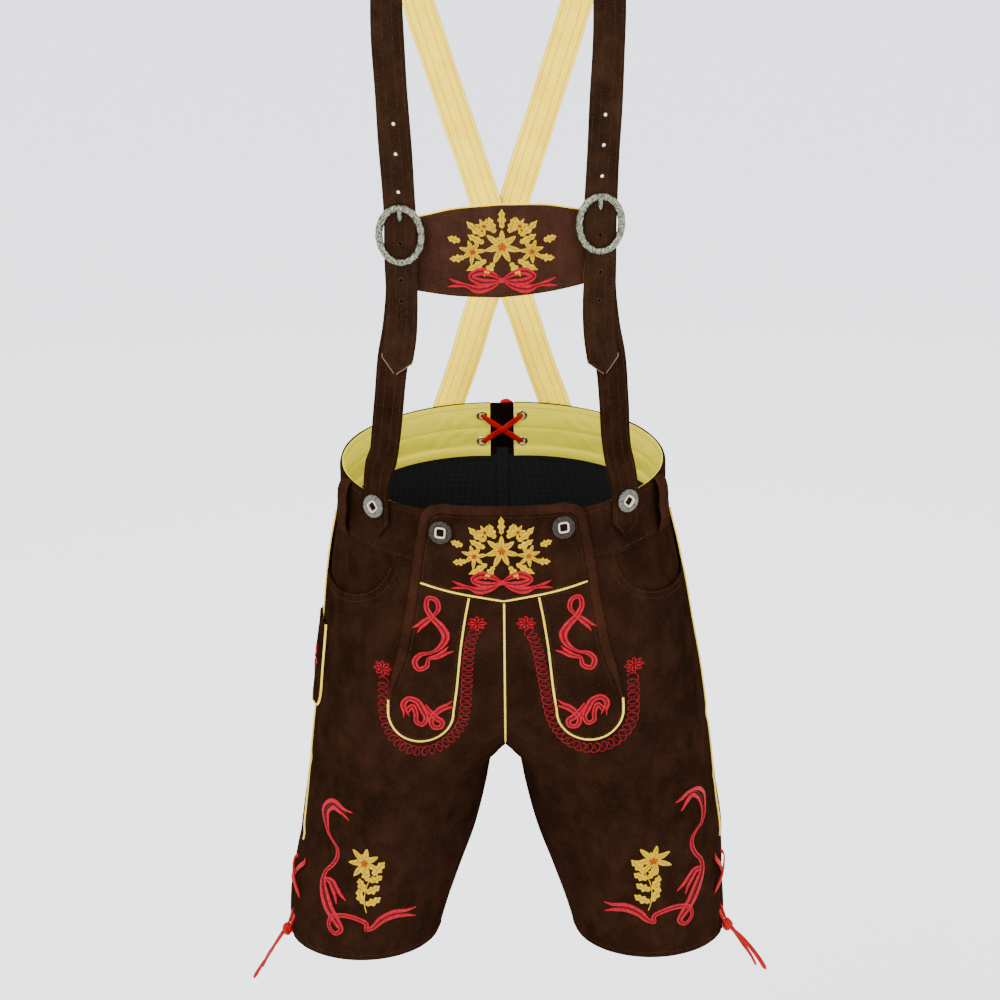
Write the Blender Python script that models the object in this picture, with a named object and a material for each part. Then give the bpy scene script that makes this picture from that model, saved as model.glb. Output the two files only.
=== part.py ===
"""Lederhosen with H-shaped braces, worn form without a wearer.

Metres, +Z up, front towards -Y. The wearer's left side is at +X and its nodes end in _L.
The origin is under the crown of the braces, midway between the shoulders, where the wearer's
shoulders hold the garment up. Each piece is cut from one smooth trouser surface or carried along
one line, and lies a seam gap away from its neighbours.
"""
import math

import bmesh
import bpy
import numpy as np
from mathutils import Vector

# ---------------------------------------------------------------- driving dimensions
WAIST_Z = -0.570            # front top edge of the waistband, below the shoulders
SEAM_GAP = 0.0003           # between two pieces at a seam
SUEDE = 0.0016              # thickness of the leg leather
BAND = 0.0024               # thickness of the waistband, two layers of leather
BAND_PROUD = 0.0008         # the waistband stands out over the legs
LINING = 0.0010             # thickness of the cloth linings
BAND_TOP = 0.024            # level of the waistband's top edge, before the waist's tilt
BAND_SEAM = -0.031          # level where the waistband meets the legs
FACING_LOW = -0.038         # level of the facing's bound lower edge
LINING_LOW = -0.190         # level where the seat lining ends
HEM = -0.514                # level of the hem
WAIST_TILT = 0.2243         # rise of the waist from front to back, metres per metre
TILT_FADES = (-0.034, -0.200)    # levels between which that tilt fades out
SPLIT_TOP = -0.190          # level where the centre seam starts to curve in
CROTCH = -0.292             # level of the crotch
SLIT_TOP = -0.404           # level where the slit at the hem starts
SLIT_WIDTH = 0.006          # width of the slit at the hem
NOTCH_WIDTH = 0.025         # opening at the back of the waistband
EYELET_HOLE = 0.0060
EYELET_FLANGE = 0.0115
EYELET_LIFT = 0.0009        # height of the flange over the leather, and of its rim over that
LACE_WIDTH = 0.0052
LACE_THICK = 0.0014
LACE_END_RADIUS = 0.0019    # a free end is a round tube of the lace's cross-section, rolled up
PIPING_WIDTH = 0.0030
PIPING_HEIGHT = 0.0018
BINDING_WIDTH = 0.0105
BINDING_HEIGHT = 0.0042
FLAP_TOP = 0.0335           # level of the flap's top edge
FLAP_CORNER = 0.022         # radius of the flap's upper corners
U_CENTRE = (0.0865, -0.2135)     # centre of the arc that closes each side of the flap
U_RADIUS = 0.0335
BUTTON_RADIUS = 0.012
BUTTON_THICK = 0.0045
STRAP_WIDTH = 0.032
STRAP_SUEDE = 0.0018
BUCKLE_SIZE = (0.0485, 0.062)     # outer width and height of the oval frame
BUCKLE_BAND = 0.0072             # width of its metal
BUCKLE_THICK = 0.0040
LOOP_WIDTH = 0.018
LOOP_OFF = 0.0066           # room for a belt behind a belt loop
LOOP_ANGLE = math.radians(21)
SEAM_TURN = math.radians(17)     # the outseam comes this far round to the front at the hem
SWAY = 0.006                # the legs' outer sides hang this far towards the wearer's left
POCKET_LOW = -0.0945        # lowest level of the scoop pocket's mouth, at the outseam
POCKET_ANGLE = math.radians(53)  # how far towards the front the mouth meets the waistband

# Level sections of the trousers. height: before the tilt. side: outseam's x. leg_x, leg_y: centre
# of the leg. front, back: depth in front of and behind that centre. inseam: x of the inner leg.
SECTIONS = np.array([
    # height  side    leg_x   leg_y   front   back    inseam
    (0.060, 0.1690, 0.0060, 0.000, 0.1075, 0.1080, 0.0000),
    (0.024, 0.1665, 0.0060, 0.000, 0.1075, 0.1080, 0.0000),
    (0.000, 0.1665, 0.0120, 0.000, 0.1085, 0.1100, 0.0000),
    (-0.034, 0.1720, 0.0240, 0.000, 0.1110, 0.1170, 0.0000),
    (-0.067, 0.1790, 0.0400, 0.001, 0.1140, 0.1250, 0.0000),
    (-0.112, 0.1865, 0.0600, 0.003, 0.1170, 0.1330, 0.0000),
    (-0.157, 0.1925, 0.0760, 0.005, 0.1180, 0.1370, 0.0000),
    (-0.200, 0.1990, 0.0880, 0.007, 0.1170, 0.1360, 0.0000),
    (-0.248, 0.2055, 0.0980, 0.009, 0.1130, 0.1290, 0.0000),
    (-0.292, 0.2115, 0.1060, 0.010, 0.1080, 0.1190, 0.0000),
    (-0.300, 0.2126, 0.1082, 0.010, 0.1070, 0.1172, 0.0100),
    (-0.310, 0.2138, 0.1110, 0.010, 0.1060, 0.1150, 0.0142),
    (-0.340, 0.2175, 0.1185, 0.010, 0.1030, 0.1090, 0.0200),
    (-0.388, 0.2245, 0.1280, 0.010, 0.0980, 0.1010, 0.0316),
    (-0.435, 0.2296, 0.1388, 0.010, 0.0930, 0.0950, 0.0480),
    (-0.483, 0.2340, 0.1490, 0.010, 0.0885, 0.0900, 0.0640),
    (-0.514, 0.2350, 0.1535, 0.010, 0.0865, 0.0875, 0.0725),
    (-0.530, 0.2352, 0.1545, 0.010, 0.0860, 0.0870, 0.0760),
])

# The largest soft folds. angle: degrees round the leg, 0 at the outseam and 90 in front.
# half_length, half_width: reach round the leg and across the fold. slope: rise per metre round.
FOLDS = [
    # side, angle, height, half_length, half_width, slope, depth
    (1, 52, -0.325, 0.050, 0.012, 0.55, 0.0038),
    (1, 132, -0.345, 0.040, 0.012, -0.45, 0.0034),
    (1, 108, -0.392, 0.042, 0.013, -0.30, 0.0026),
    (1, -60, -0.318, 0.055, 0.013, -0.35, 0.0036),
    (1, -125, -0.352, 0.045, 0.013, 0.40, 0.0034),
    (-1, 124, -0.338, 0.050, 0.012, -0.25, 0.0036),
    (-1, 98, -0.386, 0.040, 0.013, 0.20, 0.0024),
    (-1, 55, -0.352, 0.042, 0.012, 0.40, 0.0028),
    (-1, -72, -0.326, 0.055, 0.013, -0.30, 0.0036),
    (-1, -122, -0.362, 0.042, 0.013, 0.45, 0.0032),
]

# Braces: the line along the inner face of each strap. x: distance from the middle, negative where
# the back part has crossed it. rise: height above WAIST_Z. lean: how far the strap faces sideways.
BRACE_LINE = np.array([
    # x       y        rise    lean
    (0.0960, -0.1262, 0.3080, 0.13),
    (0.0975, -0.1258, 0.3450, 0.12),
    (0.1016, -0.1206, 0.4200, 0.12),
    (0.1060, -0.0910, 0.5080, 0.20),
    (0.1050, -0.0520, 0.5480, 0.27),
    (0.0985, 0.0050, 0.5700, 0.30),
    (0.0885, 0.0550, 0.5370, 0.27),
    (0.0800, 0.0895, 0.4790, 0.18),
    (0.0650, 0.1060, 0.4250, 0.10),
    (0.0489, 0.1121, 0.3720, 0.05),
    (0.0222, 0.1147, 0.2870, 0.00),
    (-0.0020, 0.1140, 0.2060, 0.00),
    (-0.0252, 0.1112, 0.1376, -0.08),
    (-0.0384, 0.1092, 0.0945, -0.15),
    (-0.0506, 0.1066, 0.0600, -0.20),
])
BRACE_END = [(0.0575, 0.0160), (0.0630, 0.0000), (0.0690, -0.0190)]   # x, level on the back
# Lower front strap: from the waistband up behind the buckle.
LOWER_END = [(0.1255, -0.0165), (0.1262, 0.0000), (0.1262, 0.0160)]   # x, level on the front
LOWER_LINE = np.array([
    # x       y        rise    lean
    (0.1170, -0.0925, 0.0650, 0.58),
    (0.1110, -0.1038, 0.1200, 0.40),
    (0.1062, -0.1100, 0.1650, 0.28),
    (0.0992, -0.1148, 0.2050, 0.20),
    (0.0958, -0.1200, 0.2550, 0.14),
    (0.0958, -0.1216, 0.2800, 0.13),
])
TIP_RISE = 0.1535           # the long strap's free tip hangs down to here over the lower strap
TIP_SHIFT = {1: 0.0090, -1: 0.0055}      # and inward of it, more on the wearer's left
TIP_LENGTH = 0.0148         # a strap's end is cut to a point of this length
LOWER_SHIFT = {1: 0.0045, -1: 0.0}       # the left lower strap is sewn on nearer the middle
# Breast bar: half of its outline, mirrored about the middle.
BAR_EDGES = np.array([
    # x       low     high
    (0.0000, 0.2320, 0.3255),
    (0.0400, 0.2345, 0.3233),
    (0.0780, 0.2400, 0.3155),
    (0.0880, 0.2420, 0.3135),
])
BAR_TILT = 0.035            # the bar rises this much towards the wearer's left, per metre
# Outer edge of the flap's rolled binding and the inner line of each side panel.
FLAP_EDGE = np.array([
    # height   x
    (0.0400, 0.0770),
    (0.0180, 0.0815),
    (0.0040, 0.0852),
    (-0.0150, 0.0890),
    (-0.0480, 0.0940),
    (-0.0900, 0.1005),
    (-0.1310, 0.1068),
    (-0.1650, 0.1142),
    (-0.1890, 0.1190),
    (-0.2060, 0.1205),
])
SIDE_PANEL_LINE = np.array([
    # height   x
    (-0.0500, 0.0335),
    (-0.0590, 0.0348),
    (-0.0895, 0.0396),
    (-0.1290, 0.0442),
    (-0.1864, 0.0493),
    (-0.2135, 0.0530),
])
FLAP_BUTTONS = {1: (0.0590, 0.0090), -1: (-0.0618, 0.0045)}      # x and level, in front
STRAP_BUTTONS = {1: 0.0205, -1: 0.0152}  # level of the button on each lower strap
FLAP_LOW = -0.1985          # level where the flap's binding ends, beside the round
POCKET_DEPTH = 0.0013       # the pocket's facing lies this far behind the leg leather
BUCKLE_RISES = {1: 0.3060, -1: 0.2965}   # the braces are buckled a hole apart

# ---------------------------------------------------------------- materials
COLOURS = {
    "suede": ("#2a150c", 0.95, 0.0), "suede_trim": ("#432619", 0.9, 0.0),
    "strap_suede": ("#352012", 0.9, 0.0), "cream_leather": ("#e8d98f", 0.85, 0.0),
    "facing_cloth": ("#c6b96f", 0.95, 0.0), "dark_lining": ("#0c1010", 0.95, 0.0),
    "piping": ("#dccf9b", 0.7, 0.0), "red_lace": ("#c81f1a", 0.8, 0.0),
    "horn": ("#4b4239", 0.35, 0.0), "old_silver": ("#85866f", 0.38, 1.0),
}


def linear(colour):
    """Turn a hex sRGB colour into linear red, green, blue and alpha."""
    parts = [int(colour[i:i + 2], 16) / 255 for i in (1, 3, 5)]
    return [c / 12.92 if c <= 0.04045 else ((c + 0.055) / 1.055) ** 2.4 for c in parts] + [1.0]


def make_material(name):
    colour, roughness, metallic = COLOURS[name]
    material = bpy.data.materials.new(name)
    material.use_nodes = True
    shader = material.node_tree.nodes["Principled BSDF"]
    shader.inputs["Base Color"].default_value = linear(colour)
    shader.inputs["Roughness"].default_value = roughness
    shader.inputs["Metallic"].default_value = metallic
    return material


# ---------------------------------------------------------------- the trouser surface
def smooth_column(table, column, at, key=0):
    """Read a table's column between its rows, on a smooth curve that never overshoots."""
    rows = table[np.argsort(table[:, key])]
    x, y = rows[:, key], rows[:, column]
    step = np.diff(x)
    slope = np.diff(y) / step
    tangent = np.zeros_like(y)
    weight_a = 2 * step[1:] + step[:-1]
    weight_b = step[1:] + 2 * step[:-1]
    same = slope[:-1] * slope[1:] > 0
    left = np.where(same, slope[:-1], 1.0)
    right = np.where(same, slope[1:], 1.0)
    tangent[1:-1] = np.where(same, (weight_a + weight_b) / (weight_a / left + weight_b / right), 0)
    tangent[0], tangent[-1] = slope[0], slope[-1]
    at = np.clip(np.asarray(at, float), x[0], x[-1])
    i = np.clip(np.searchsorted(x, at) - 1, 0, len(step) - 1)
    t = (at - x[i]) / step[i]
    rise = (1 + 2 * t) * (1 - t) ** 2 * y[i] + t * (1 - t) ** 2 * step[i] * tangent[i]
    return rise + t * t * (3 - 2 * t) * y[i + 1] + t * t * (t - 1) * step[i] * tangent[i + 1]


def smooth_step(value, start, end):
    t = np.clip((np.asarray(value, float) - start) / (end - start), 0, 1)
    return t * t * (3 - 2 * t)


def section(height):
    """Sizes of the level section at a height, with split (0 where the front is one round, 1 where
    the legs part) and reach (how far the inner half goes from the leg's centre)."""
    side, leg_x, leg_y, front, back, inseam = (
        smooth_column(SECTIONS, column, height) for column in range(1, 7))
    split = np.clip((SPLIT_TOP - height) / (SPLIT_TOP - CROTCH), 0.02, 1)
    reach = np.where(height > CROTCH, leg_x / split, leg_x - inseam)
    return side, leg_x, leg_y, front, back, split, reach


def fold_depth(side, angle, height):
    """How far the soft folds pull the leather in."""
    depth = 0.0
    for fold_side, degrees, level, half_length, half_width, slope, deep in FOLDS:
        if fold_side == side:
            along = (angle - math.radians(degrees)) * 0.11
            across = height - level - slope * along
            depth = depth + deep * np.exp(-(along / half_length) ** 2 - (across / half_width) ** 2)
    return depth


def outseam(height):
    """The angle where the outseam lies: it turns towards the front on its way down."""
    return SEAM_TURN * smooth_step(-np.asarray(height, float), -POCKET_LOW, 0.46)


def surface(side, angle, height):
    """A point of the garment's smooth outer surface. angle: 0 at the side, 90 degrees front, 180
    inseam, negative behind. height: level before the waist's tilt."""
    angle, height = np.broadcast_arrays(np.asarray(angle, float), np.asarray(height, float))
    side_x, leg_x, leg_y, front, back, _, reach = section(height)
    cos, sin = np.cos(angle), np.sin(angle)
    shrink = 1 - fold_depth(side, angle, height) / 0.1
    x = leg_x + np.where(cos > 0, side_x - leg_x, reach) * cos * np.where(cos > 0, shrink, 1)
    y = leg_y - np.where(sin > 0, front, back) * sin * shrink
    tilt = WAIST_TILT * (1 - smooth_step(-height, -TILT_FADES[0], -TILT_FADES[1]))
    hang = smooth_step(-height, 0.02, 0.25) * (1 - smooth_step(-height, 0.38, 0.47))
    sway = SWAY * hang * smooth_step(x, 0.10, 0.19)
    return np.stack([side * (x + SEAM_GAP / 2) + sway, y, WAIST_Z + height + tilt * y], -1)


def outward(side, angle, height):
    """The surface's unit normal, by central differences."""
    tiny = 1e-4
    angle, height = np.broadcast_arrays(np.asarray(angle, float), np.asarray(height, float))
    round_leg = surface(side, angle + tiny, height) - surface(side, angle - tiny, height)
    up_leg = surface(side, angle, height + tiny) - surface(side, angle, height - tiny)
    normal = np.cross(up_leg, round_leg) * side
    return normal / np.linalg.norm(normal, axis=-1, keepdims=True)


def moved_out(side, angle, height, distance):
    distance = np.broadcast_to(np.asarray(distance, float), np.shape(np.asarray(angle) + height))
    return surface(side, angle, height) + outward(side, angle, height) * distance[..., None]


def angle_limit(height):
    """The angle where a panel ends: at the centre seam, or at the inseam below the crotch."""
    return np.pi / 2 + np.arcsin(section(height)[5])


def angle_at_x(x, height):
    """The angle in front (or its mirror behind) where the surface is at a distance x."""
    side_x, leg_x, _, _, _, split, reach = section(height)
    x = np.abs(x) - SEAM_GAP / 2
    cos = np.where(x > leg_x, (x - leg_x) / (side_x - leg_x), (x - leg_x) / reach)
    return np.arccos(np.clip(cos, -1, 1))


def front_at(x, height, distance=0.0):
    """A point on the front at x and height, moved out by a distance, and its normal."""
    x, height = np.broadcast_arrays(np.asarray(x, float), np.asarray(height, float))
    angle = angle_at_x(x, height)
    right = (x < 0)[..., None]
    point = np.where(right, surface(-1, angle, height), surface(1, angle, height))
    normal = np.where(right, outward(-1, angle, height), outward(1, angle, height))
    return point + normal * np.broadcast_to(np.asarray(distance, float), x.shape)[..., None], normal


def angles_across(height, fractions, back, first, last):
    """Angles at fractions of the arc length between two angles, row by row."""
    rows = []
    for level, part, start, stop in zip(height, fractions, first, last):
        split = float(section(level)[5])
        fine = np.concatenate([np.linspace(-0.5, np.pi, 105), np.arccos(-split * np.linspace(0, 1, 61))])
        fine = np.unique(np.clip(fine, start, stop))
        line = surface(1, -fine if back else fine, level)
        length = np.concatenate([[0], np.cumsum(np.linalg.norm(np.diff(line, axis=0), axis=1))])
        rows.append(np.interp(part * length[-1], length, fine))
    angles = np.array(rows)
    return -angles if back else angles


# ---------------------------------------------------------------- meshes
def add_object(name, points, faces, material, smooth=True):
    """Add a closed mesh and turn its faces outward."""
    points = np.asarray(points, float)
    mesh = bpy.data.meshes.new(name)
    mesh.from_pydata(points.tolist(), [], [list(map(int, face)) for face in faces])
    mesh.validate()
    work = bmesh.new()
    work.from_mesh(mesh)
    bmesh.ops.recalc_face_normals(work, faces=work.faces)
    if work.calc_volume(signed=True) < 0:
        bmesh.ops.reverse_faces(work, faces=work.faces)
    work.to_mesh(mesh)
    work.free()
    if smooth:
        mesh.shade_smooth()
        mesh.set_sharp_from_angle(angle=math.radians(40))
    mesh.materials.append(MATERIALS[material])
    item = bpy.data.objects.new(name, mesh)
    bpy.context.collection.objects.link(item)
    return item


def wall(name, outer, inner, material):
    """Join two grids of points of the same size into one closed wall of cloth."""
    rows, cols = outer.shape[:2]
    index = np.arange(rows * cols).reshape(rows, cols)
    quads = np.stack([index[:-1, :-1], index[:-1, 1:], index[1:, 1:], index[1:, :-1]], -1)
    quads = quads.reshape(-1, 4)
    skin = np.concatenate([quads[:, [0, 1, 2]], quads[:, [0, 2, 3]]])
    border = np.concatenate([index[0, :-1], index[:-1, -1], index[-1, :0:-1], index[:0:-1, 0]])
    after = np.roll(border, -1)
    count = rows * cols
    edge = np.stack([border, after, after + count, border + count], -1)
    faces = list(skin) + list(skin[:, ::-1] + count) + list(edge)
    points = np.concatenate([outer.reshape(-1, 3), inner.reshape(-1, 3)])
    return add_object(name, points, faces, material)


def swept(name, rings, material, ring_closed=False):
    """Join rings of points into one body, with a cap at each end or joined into a ring."""
    count, size = rings.shape[:2]
    index = np.arange(count * size).reshape(count, size)
    faces = []
    steps = count if ring_closed else count - 1
    for i in range(steps):
        a, b = index[i], index[(i + 1) % count]
        for j in range(size - 1):
            faces += [[a[j], a[j + 1], b[j + 1]], [a[j], b[j + 1], b[j]]]
        faces += [[a[-1], a[0], b[-1]], [a[0], b[0], b[-1]]]
    if not ring_closed:
        faces += [list(index[0][::-1]), list(index[-1])]
    return add_object(name, rings.reshape(-1, 3), faces, material)


def unit(vectors):
    return vectors / np.linalg.norm(vectors, axis=-1, keepdims=True)


def smooth_line(points, count):
    """Points at even steps along a smooth curve through the given ones."""
    points = np.asarray(points, float)
    far = np.concatenate([[0], np.cumsum(np.linalg.norm(np.diff(points, axis=0), axis=1))])
    tangent = np.gradient(points, far, axis=0)
    fine = np.linspace(0, far[-1], 40 * len(points))
    i = np.clip(np.searchsorted(far, fine) - 1, 0, len(points) - 2)
    step = (far[i + 1] - far[i])[:, None]
    t = (fine - far[i])[:, None] / step
    curve = (1 + 2 * t) * (1 - t) ** 2 * points[i] + t * (1 - t) ** 2 * step * tangent[i]
    curve += t * t * (3 - 2 * t) * points[i + 1] + t * t * (t - 1) * step * tangent[i + 1]
    length = np.concatenate([[0], np.cumsum(np.linalg.norm(np.diff(curve, axis=0), axis=1))])
    even = np.linspace(0, length[-1], count)
    return np.stack([np.interp(even, length, curve[:, k]) for k in range(points.shape[1])], -1)


def strip_rings(centre, normal, profile, widths):
    """Rings of a profile of (across, out) pairs carried along a line on a surface."""
    along = unit(np.gradient(centre, axis=0))
    across = unit(np.cross(along, normal))
    up = np.cross(across, along)
    profile = np.asarray(profile, float)
    widths = np.broadcast_to(np.asarray(widths, float), (len(centre),))
    return (centre[:, None] + across[:, None] * (profile[None, :, 0] * widths[:, None])[..., None]
            + up[:, None] * profile[None, :, 1, None])


def domed_profile(low, height, steps):
    """Half a width to each side at level low, rising in a low arch."""
    turn = np.linspace(0, np.pi, steps)
    arch = [(math.cos(a) / 2, low + 0.0003 + height * math.sin(a) ** 0.7) for a in turn]
    return [(0.5, low)] + arch + [(-0.5, low)]


def flat_profile(low, high):
    return [(0.5, low), (0.5, high), (-0.5, high), (-0.5, low)]


def turned(name, profile, centre, axis, segments, material, hollow=False):
    """Turn a profile of (radius, out) pairs about an axis; hollow joins its ends instead."""
    axis = unit(np.asarray(axis, float))
    first = unit(np.cross(axis, [0.0, 0.0, 1.0]))
    second = np.cross(axis, first)
    turn = np.linspace(0, 2 * np.pi, segments, endpoint=False)
    spokes = np.cos(turn)[:, None] * first + np.sin(turn)[:, None] * second
    rings = np.stack([centre + radius * spokes + out * axis for radius, out in profile])
    return swept(name, rings, material, ring_closed=hollow)


# ---------------------------------------------------------------- trousers
def leg_levels(back):
    """Levels of a leg panel's rows, closer where the pocket's mouth and the crotch seam curve."""
    turns = [0] + ([45] if back else [22, 42, 58, 70, 79, 86, 90])
    upper = BAND_SEAM - SEAM_GAP - (BAND_SEAM - POCKET_LOW) * np.sin(np.radians(turns))
    middle = np.array([-0.125, -0.158, SPLIT_TOP])
    curve = SPLIT_TOP - (SPLIT_TOP - CROTCH) * np.sin(np.radians([20, 40, 58, 75, 90]))
    lower = np.array([-0.2955, -0.306, -0.324, -0.343, -0.364, -0.385, SLIT_TOP, -0.432, -0.470, HEM])
    return np.concatenate([upper, middle, curve, lower])


def leg_panel(name, side, back, columns=11):
    """A leg panel from the waist seam to the hem, between the outseam (or the mouth of the scoop
    pocket) and the centre seam and inseam."""
    levels = leg_levels(back)
    along = np.clip((BAND_SEAM - SEAM_GAP - levels) / (BAND_SEAM - POCKET_LOW), 0, 1)
    seam = outseam(levels)
    mouth = seam + (POCKET_ANGLE - seam) * (1 - along ** 3) ** (1 / 3)
    first = -seam if back else mouth
    arc = 0.28
    slit = SLIT_WIDTH / 2 * smooth_step(-levels, -SLIT_TOP, -HEM)
    start = (SEAM_GAP / 2 + slit) / arc
    stop = 1 - np.where(levels <= CROTCH, SEAM_GAP / 2 / arc, 0.0)
    fractions = start[:, None] + (stop - start)[:, None] * np.linspace(0, 1, columns)
    angles = angles_across(levels, fractions, back, first, angle_limit(levels))
    rows = levels[:, None]
    outer = moved_out(side, angles, rows, 0.0)
    inner = moved_out(side, angles, rows, -SUEDE)
    inner[..., 0] = side * np.maximum(side * inner[..., 0], SEAM_GAP / 2)
    return wall(name, outer, inner, "suede")


def pocket_facing(name, side):
    levels = np.linspace(BAND_SEAM - SEAM_GAP, POCKET_LOW - 0.010, 7)
    share = np.linspace(0, 1, 9)
    reach = POCKET_ANGLE * (1.16 - 0.36 * np.linspace(0, 1, 7) ** 2)
    angles = 0.004 + share * reach[:, None]
    out = -SUEDE - POCKET_DEPTH
    rows = levels[:, None]
    return wall(name, moved_out(side, angles, rows, out), moved_out(side, angles, rows, out - 0.0010),
                "suede")


def band_angles(levels, back, columns=10):
    """Angles round the waist from the outseam to the middle, front or back."""
    end = NOTCH_WIDTH / 2 if back else SEAM_GAP / 2
    last = np.array([float(angle_at_x(end, level)) for level in levels])
    fractions = np.tile(np.linspace(SEAM_GAP / 2 / 0.2, 1, columns), (len(levels), 1))
    return angles_across(levels, fractions, back, np.zeros_like(levels), last)


def band_piece(name, side, halves, levels, outs, thick, material):
    """A piece that runs round the waist: the front half, the back half, or both in one."""
    levels, outs = np.asarray(levels, float), np.asarray(outs, float)
    parts = [band_angles(levels, half == "back") for half in halves]
    angles = parts[0] if len(parts) == 1 else np.concatenate([parts[0][:, ::-1], parts[1]], axis=1)
    rows = levels[:, None]
    return wall(name, moved_out(side, angles, rows, outs[:, None]),
                moved_out(side, angles, rows, outs[:, None] - thick), material)


def seat_lining(name, side, columns=11):
    levels = leg_levels(True)
    levels = np.concatenate([[FACING_LOW - 0.0012], levels[(levels < -0.06) & (levels >= LINING_LOW)]])
    fractions = np.tile(np.linspace(0.001, 0.999, columns), (len(levels), 1))
    angles = angles_across(levels, fractions, True, np.zeros_like(levels), angle_limit(levels))
    out = -SUEDE - 0.0010
    rows = levels[:, None]
    inner = moved_out(side, angles, rows, out - LINING)
    return wall(name, moved_out(side, angles, rows, out), inner, "dark_lining")


def back_gusset():
    """The dark leather that shows in the notch at the back of the waistband."""
    levels = np.linspace(BAND_TOP - 0.0008, BAND_SEAM + 0.0004, 5)
    x = np.linspace(-1, 1, 6) * (NOTCH_WIDTH / 2 - SEAM_GAP - 0.0002)
    levels, x = np.meshgrid(levels, x, indexing="ij")
    angle = -angle_at_x(x, levels)
    flip = np.stack([np.sign(x), np.ones_like(x), np.ones_like(x)], -1)
    outer = moved_out(1, angle, levels, -0.0002) * flip
    inner = moved_out(1, angle, levels, -0.0002 - SUEDE) * flip
    return wall("gusset_back", outer, inner, "suede_trim")


# ---------------------------------------------------------------- flap
def flap_lift(height):
    """The flap lies close on the legs and steps out over the waistband."""
    return 0.0006 + 0.0012 * smooth_step(height, BAND_SEAM - 0.030, BAND_SEAM - 0.004)


def yoke_level(x):
    """Level of the piped V line across the flap."""
    return -0.0675 + 0.0180 * np.abs(x) / 0.084


def flap_edge(height):
    return smooth_column(FLAP_EDGE, 1, height)


def binding_half_width(height):
    """Half the binding's width, tapering out at its lower ends."""
    return BINDING_WIDTH / 2 * (0.38 + 0.62 * smooth_step(height, FLAP_LOW, -0.145))


def binding_line(count=30):
    """The middle line of the binding on one side, from its lower end to the middle of the top."""
    low = np.linspace(FLAP_LOW, FLAP_TOP - FLAP_CORNER - 0.005, 9)
    run = np.stack([flap_edge(low) - binding_half_width(low), low], -1)
    top = FLAP_TOP - BINDING_WIDTH / 2
    corner_x = run[-1, 0] - FLAP_CORNER + 0.0015
    bend = np.radians([35, 60, 80])
    corner = np.stack([corner_x + FLAP_CORNER * np.cos(bend),
                       top - FLAP_CORNER + FLAP_CORNER * np.sin(bend)], -1)
    across = np.array([(0.045, top + 0.0003), (0.022, top + 0.001), (0.0, top + 0.0012)])
    return smooth_line(np.concatenate([run, corner, across]), count)


def flap_top_piece():
    """The upper part of the flap, inside the binding and above the V line."""
    line = binding_line(60)
    tangent = unit(np.gradient(line, axis=0))
    inset = BINDING_WIDTH / 2 + 2 * SEAM_GAP
    edge = line + np.stack([-tangent[:, 1], tangent[:, 0]], -1) * inset
    side_run = edge[:30]
    order = np.argsort(edge[:, 0])
    x = np.linspace(-1, 1, 17) * np.interp(-0.050, side_run[:, 1], side_run[:, 0]) * 0.985
    top = np.interp(np.abs(x), edge[order, 0], edge[order, 1])
    upper = edge[edge[:, 1] > -0.060]
    widest = np.interp(top, upper[:, 1], upper[:, 0])
    low = yoke_level(x) + PIPING_WIDTH / 2 + SEAM_GAP
    part = np.linspace(0, 1, 6)[:, None]
    level = low + (top - low) * part
    across = np.where(part == 1, np.sign(x) * np.minimum(np.abs(x), widest), x)
    lift = flap_lift(level)
    outer, _ = front_at(across, level, lift + SUEDE)
    inner, _ = front_at(across, level, lift)
    return wall("flap_top", outer, inner, "suede")


def flap_side_piece(name, side):
    """A side panel of the flap: it ends below in a round, inside the piping."""
    inset = PIPING_WIDTH / 2 + 2 * SEAM_GAP
    radius = U_RADIUS - inset
    straight = np.linspace(-0.058, U_CENTRE[1], 8)
    rows = []
    for i, level in enumerate(straight):
        blend = i / (len(straight) - 1)
        x = np.linspace(0.037, 0.080, 7)
        for _ in range(4):
            top = yoke_level(x) - inset
            at = top + (level - top) * blend
            near = float(smooth_column(SIDE_PANEL_LINE, 1, at[0])) + inset
            far = float(flap_edge(at[-1]) - 2 * binding_half_width(at[-1])) - 4 * SEAM_GAP
            x = np.linspace(near, min(far, U_CENTRE[0] + radius), 7)
        rows.append(np.stack([x, at], -1))
    for turn in np.radians([22, 43, 61, 77]):
        half = radius * math.cos(turn)
        x = np.linspace(U_CENTRE[0] - half, U_CENTRE[0] + half, 7)
        rows.append(np.stack([x, np.full(7, U_CENTRE[1] - radius * math.sin(turn))], -1))
    grid = np.array(rows)
    lift = flap_lift(grid[..., 1])
    outer, _ = front_at(side * grid[..., 0], grid[..., 1], lift + SUEDE)
    inner, _ = front_at(side * grid[..., 0], grid[..., 1], lift)
    return wall(name, outer, inner, "suede")


def front_strip(name, line, profile, widths, material, lifts=0.0):
    """A strip on the front along a line of (x, level) points."""
    centre, normal = front_at(line[:, 0], line[:, 1], lifts)
    return swept(name, strip_rings(centre, normal, profile, widths), material)


def flap_binding():
    half = binding_line(24)
    line = np.concatenate([half * [-1, 1], half[-2::-1]])
    widths = 2 * binding_half_width(line[:, 1])
    profile = domed_profile(0.0, BINDING_HEIGHT - 0.0003, 5)
    return front_strip("flap_binding", line, profile, widths, "suede_trim", flap_lift(line[:, 1]))


def piping_profile():
    return domed_profile(0.0004, PIPING_HEIGHT, 4)


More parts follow.
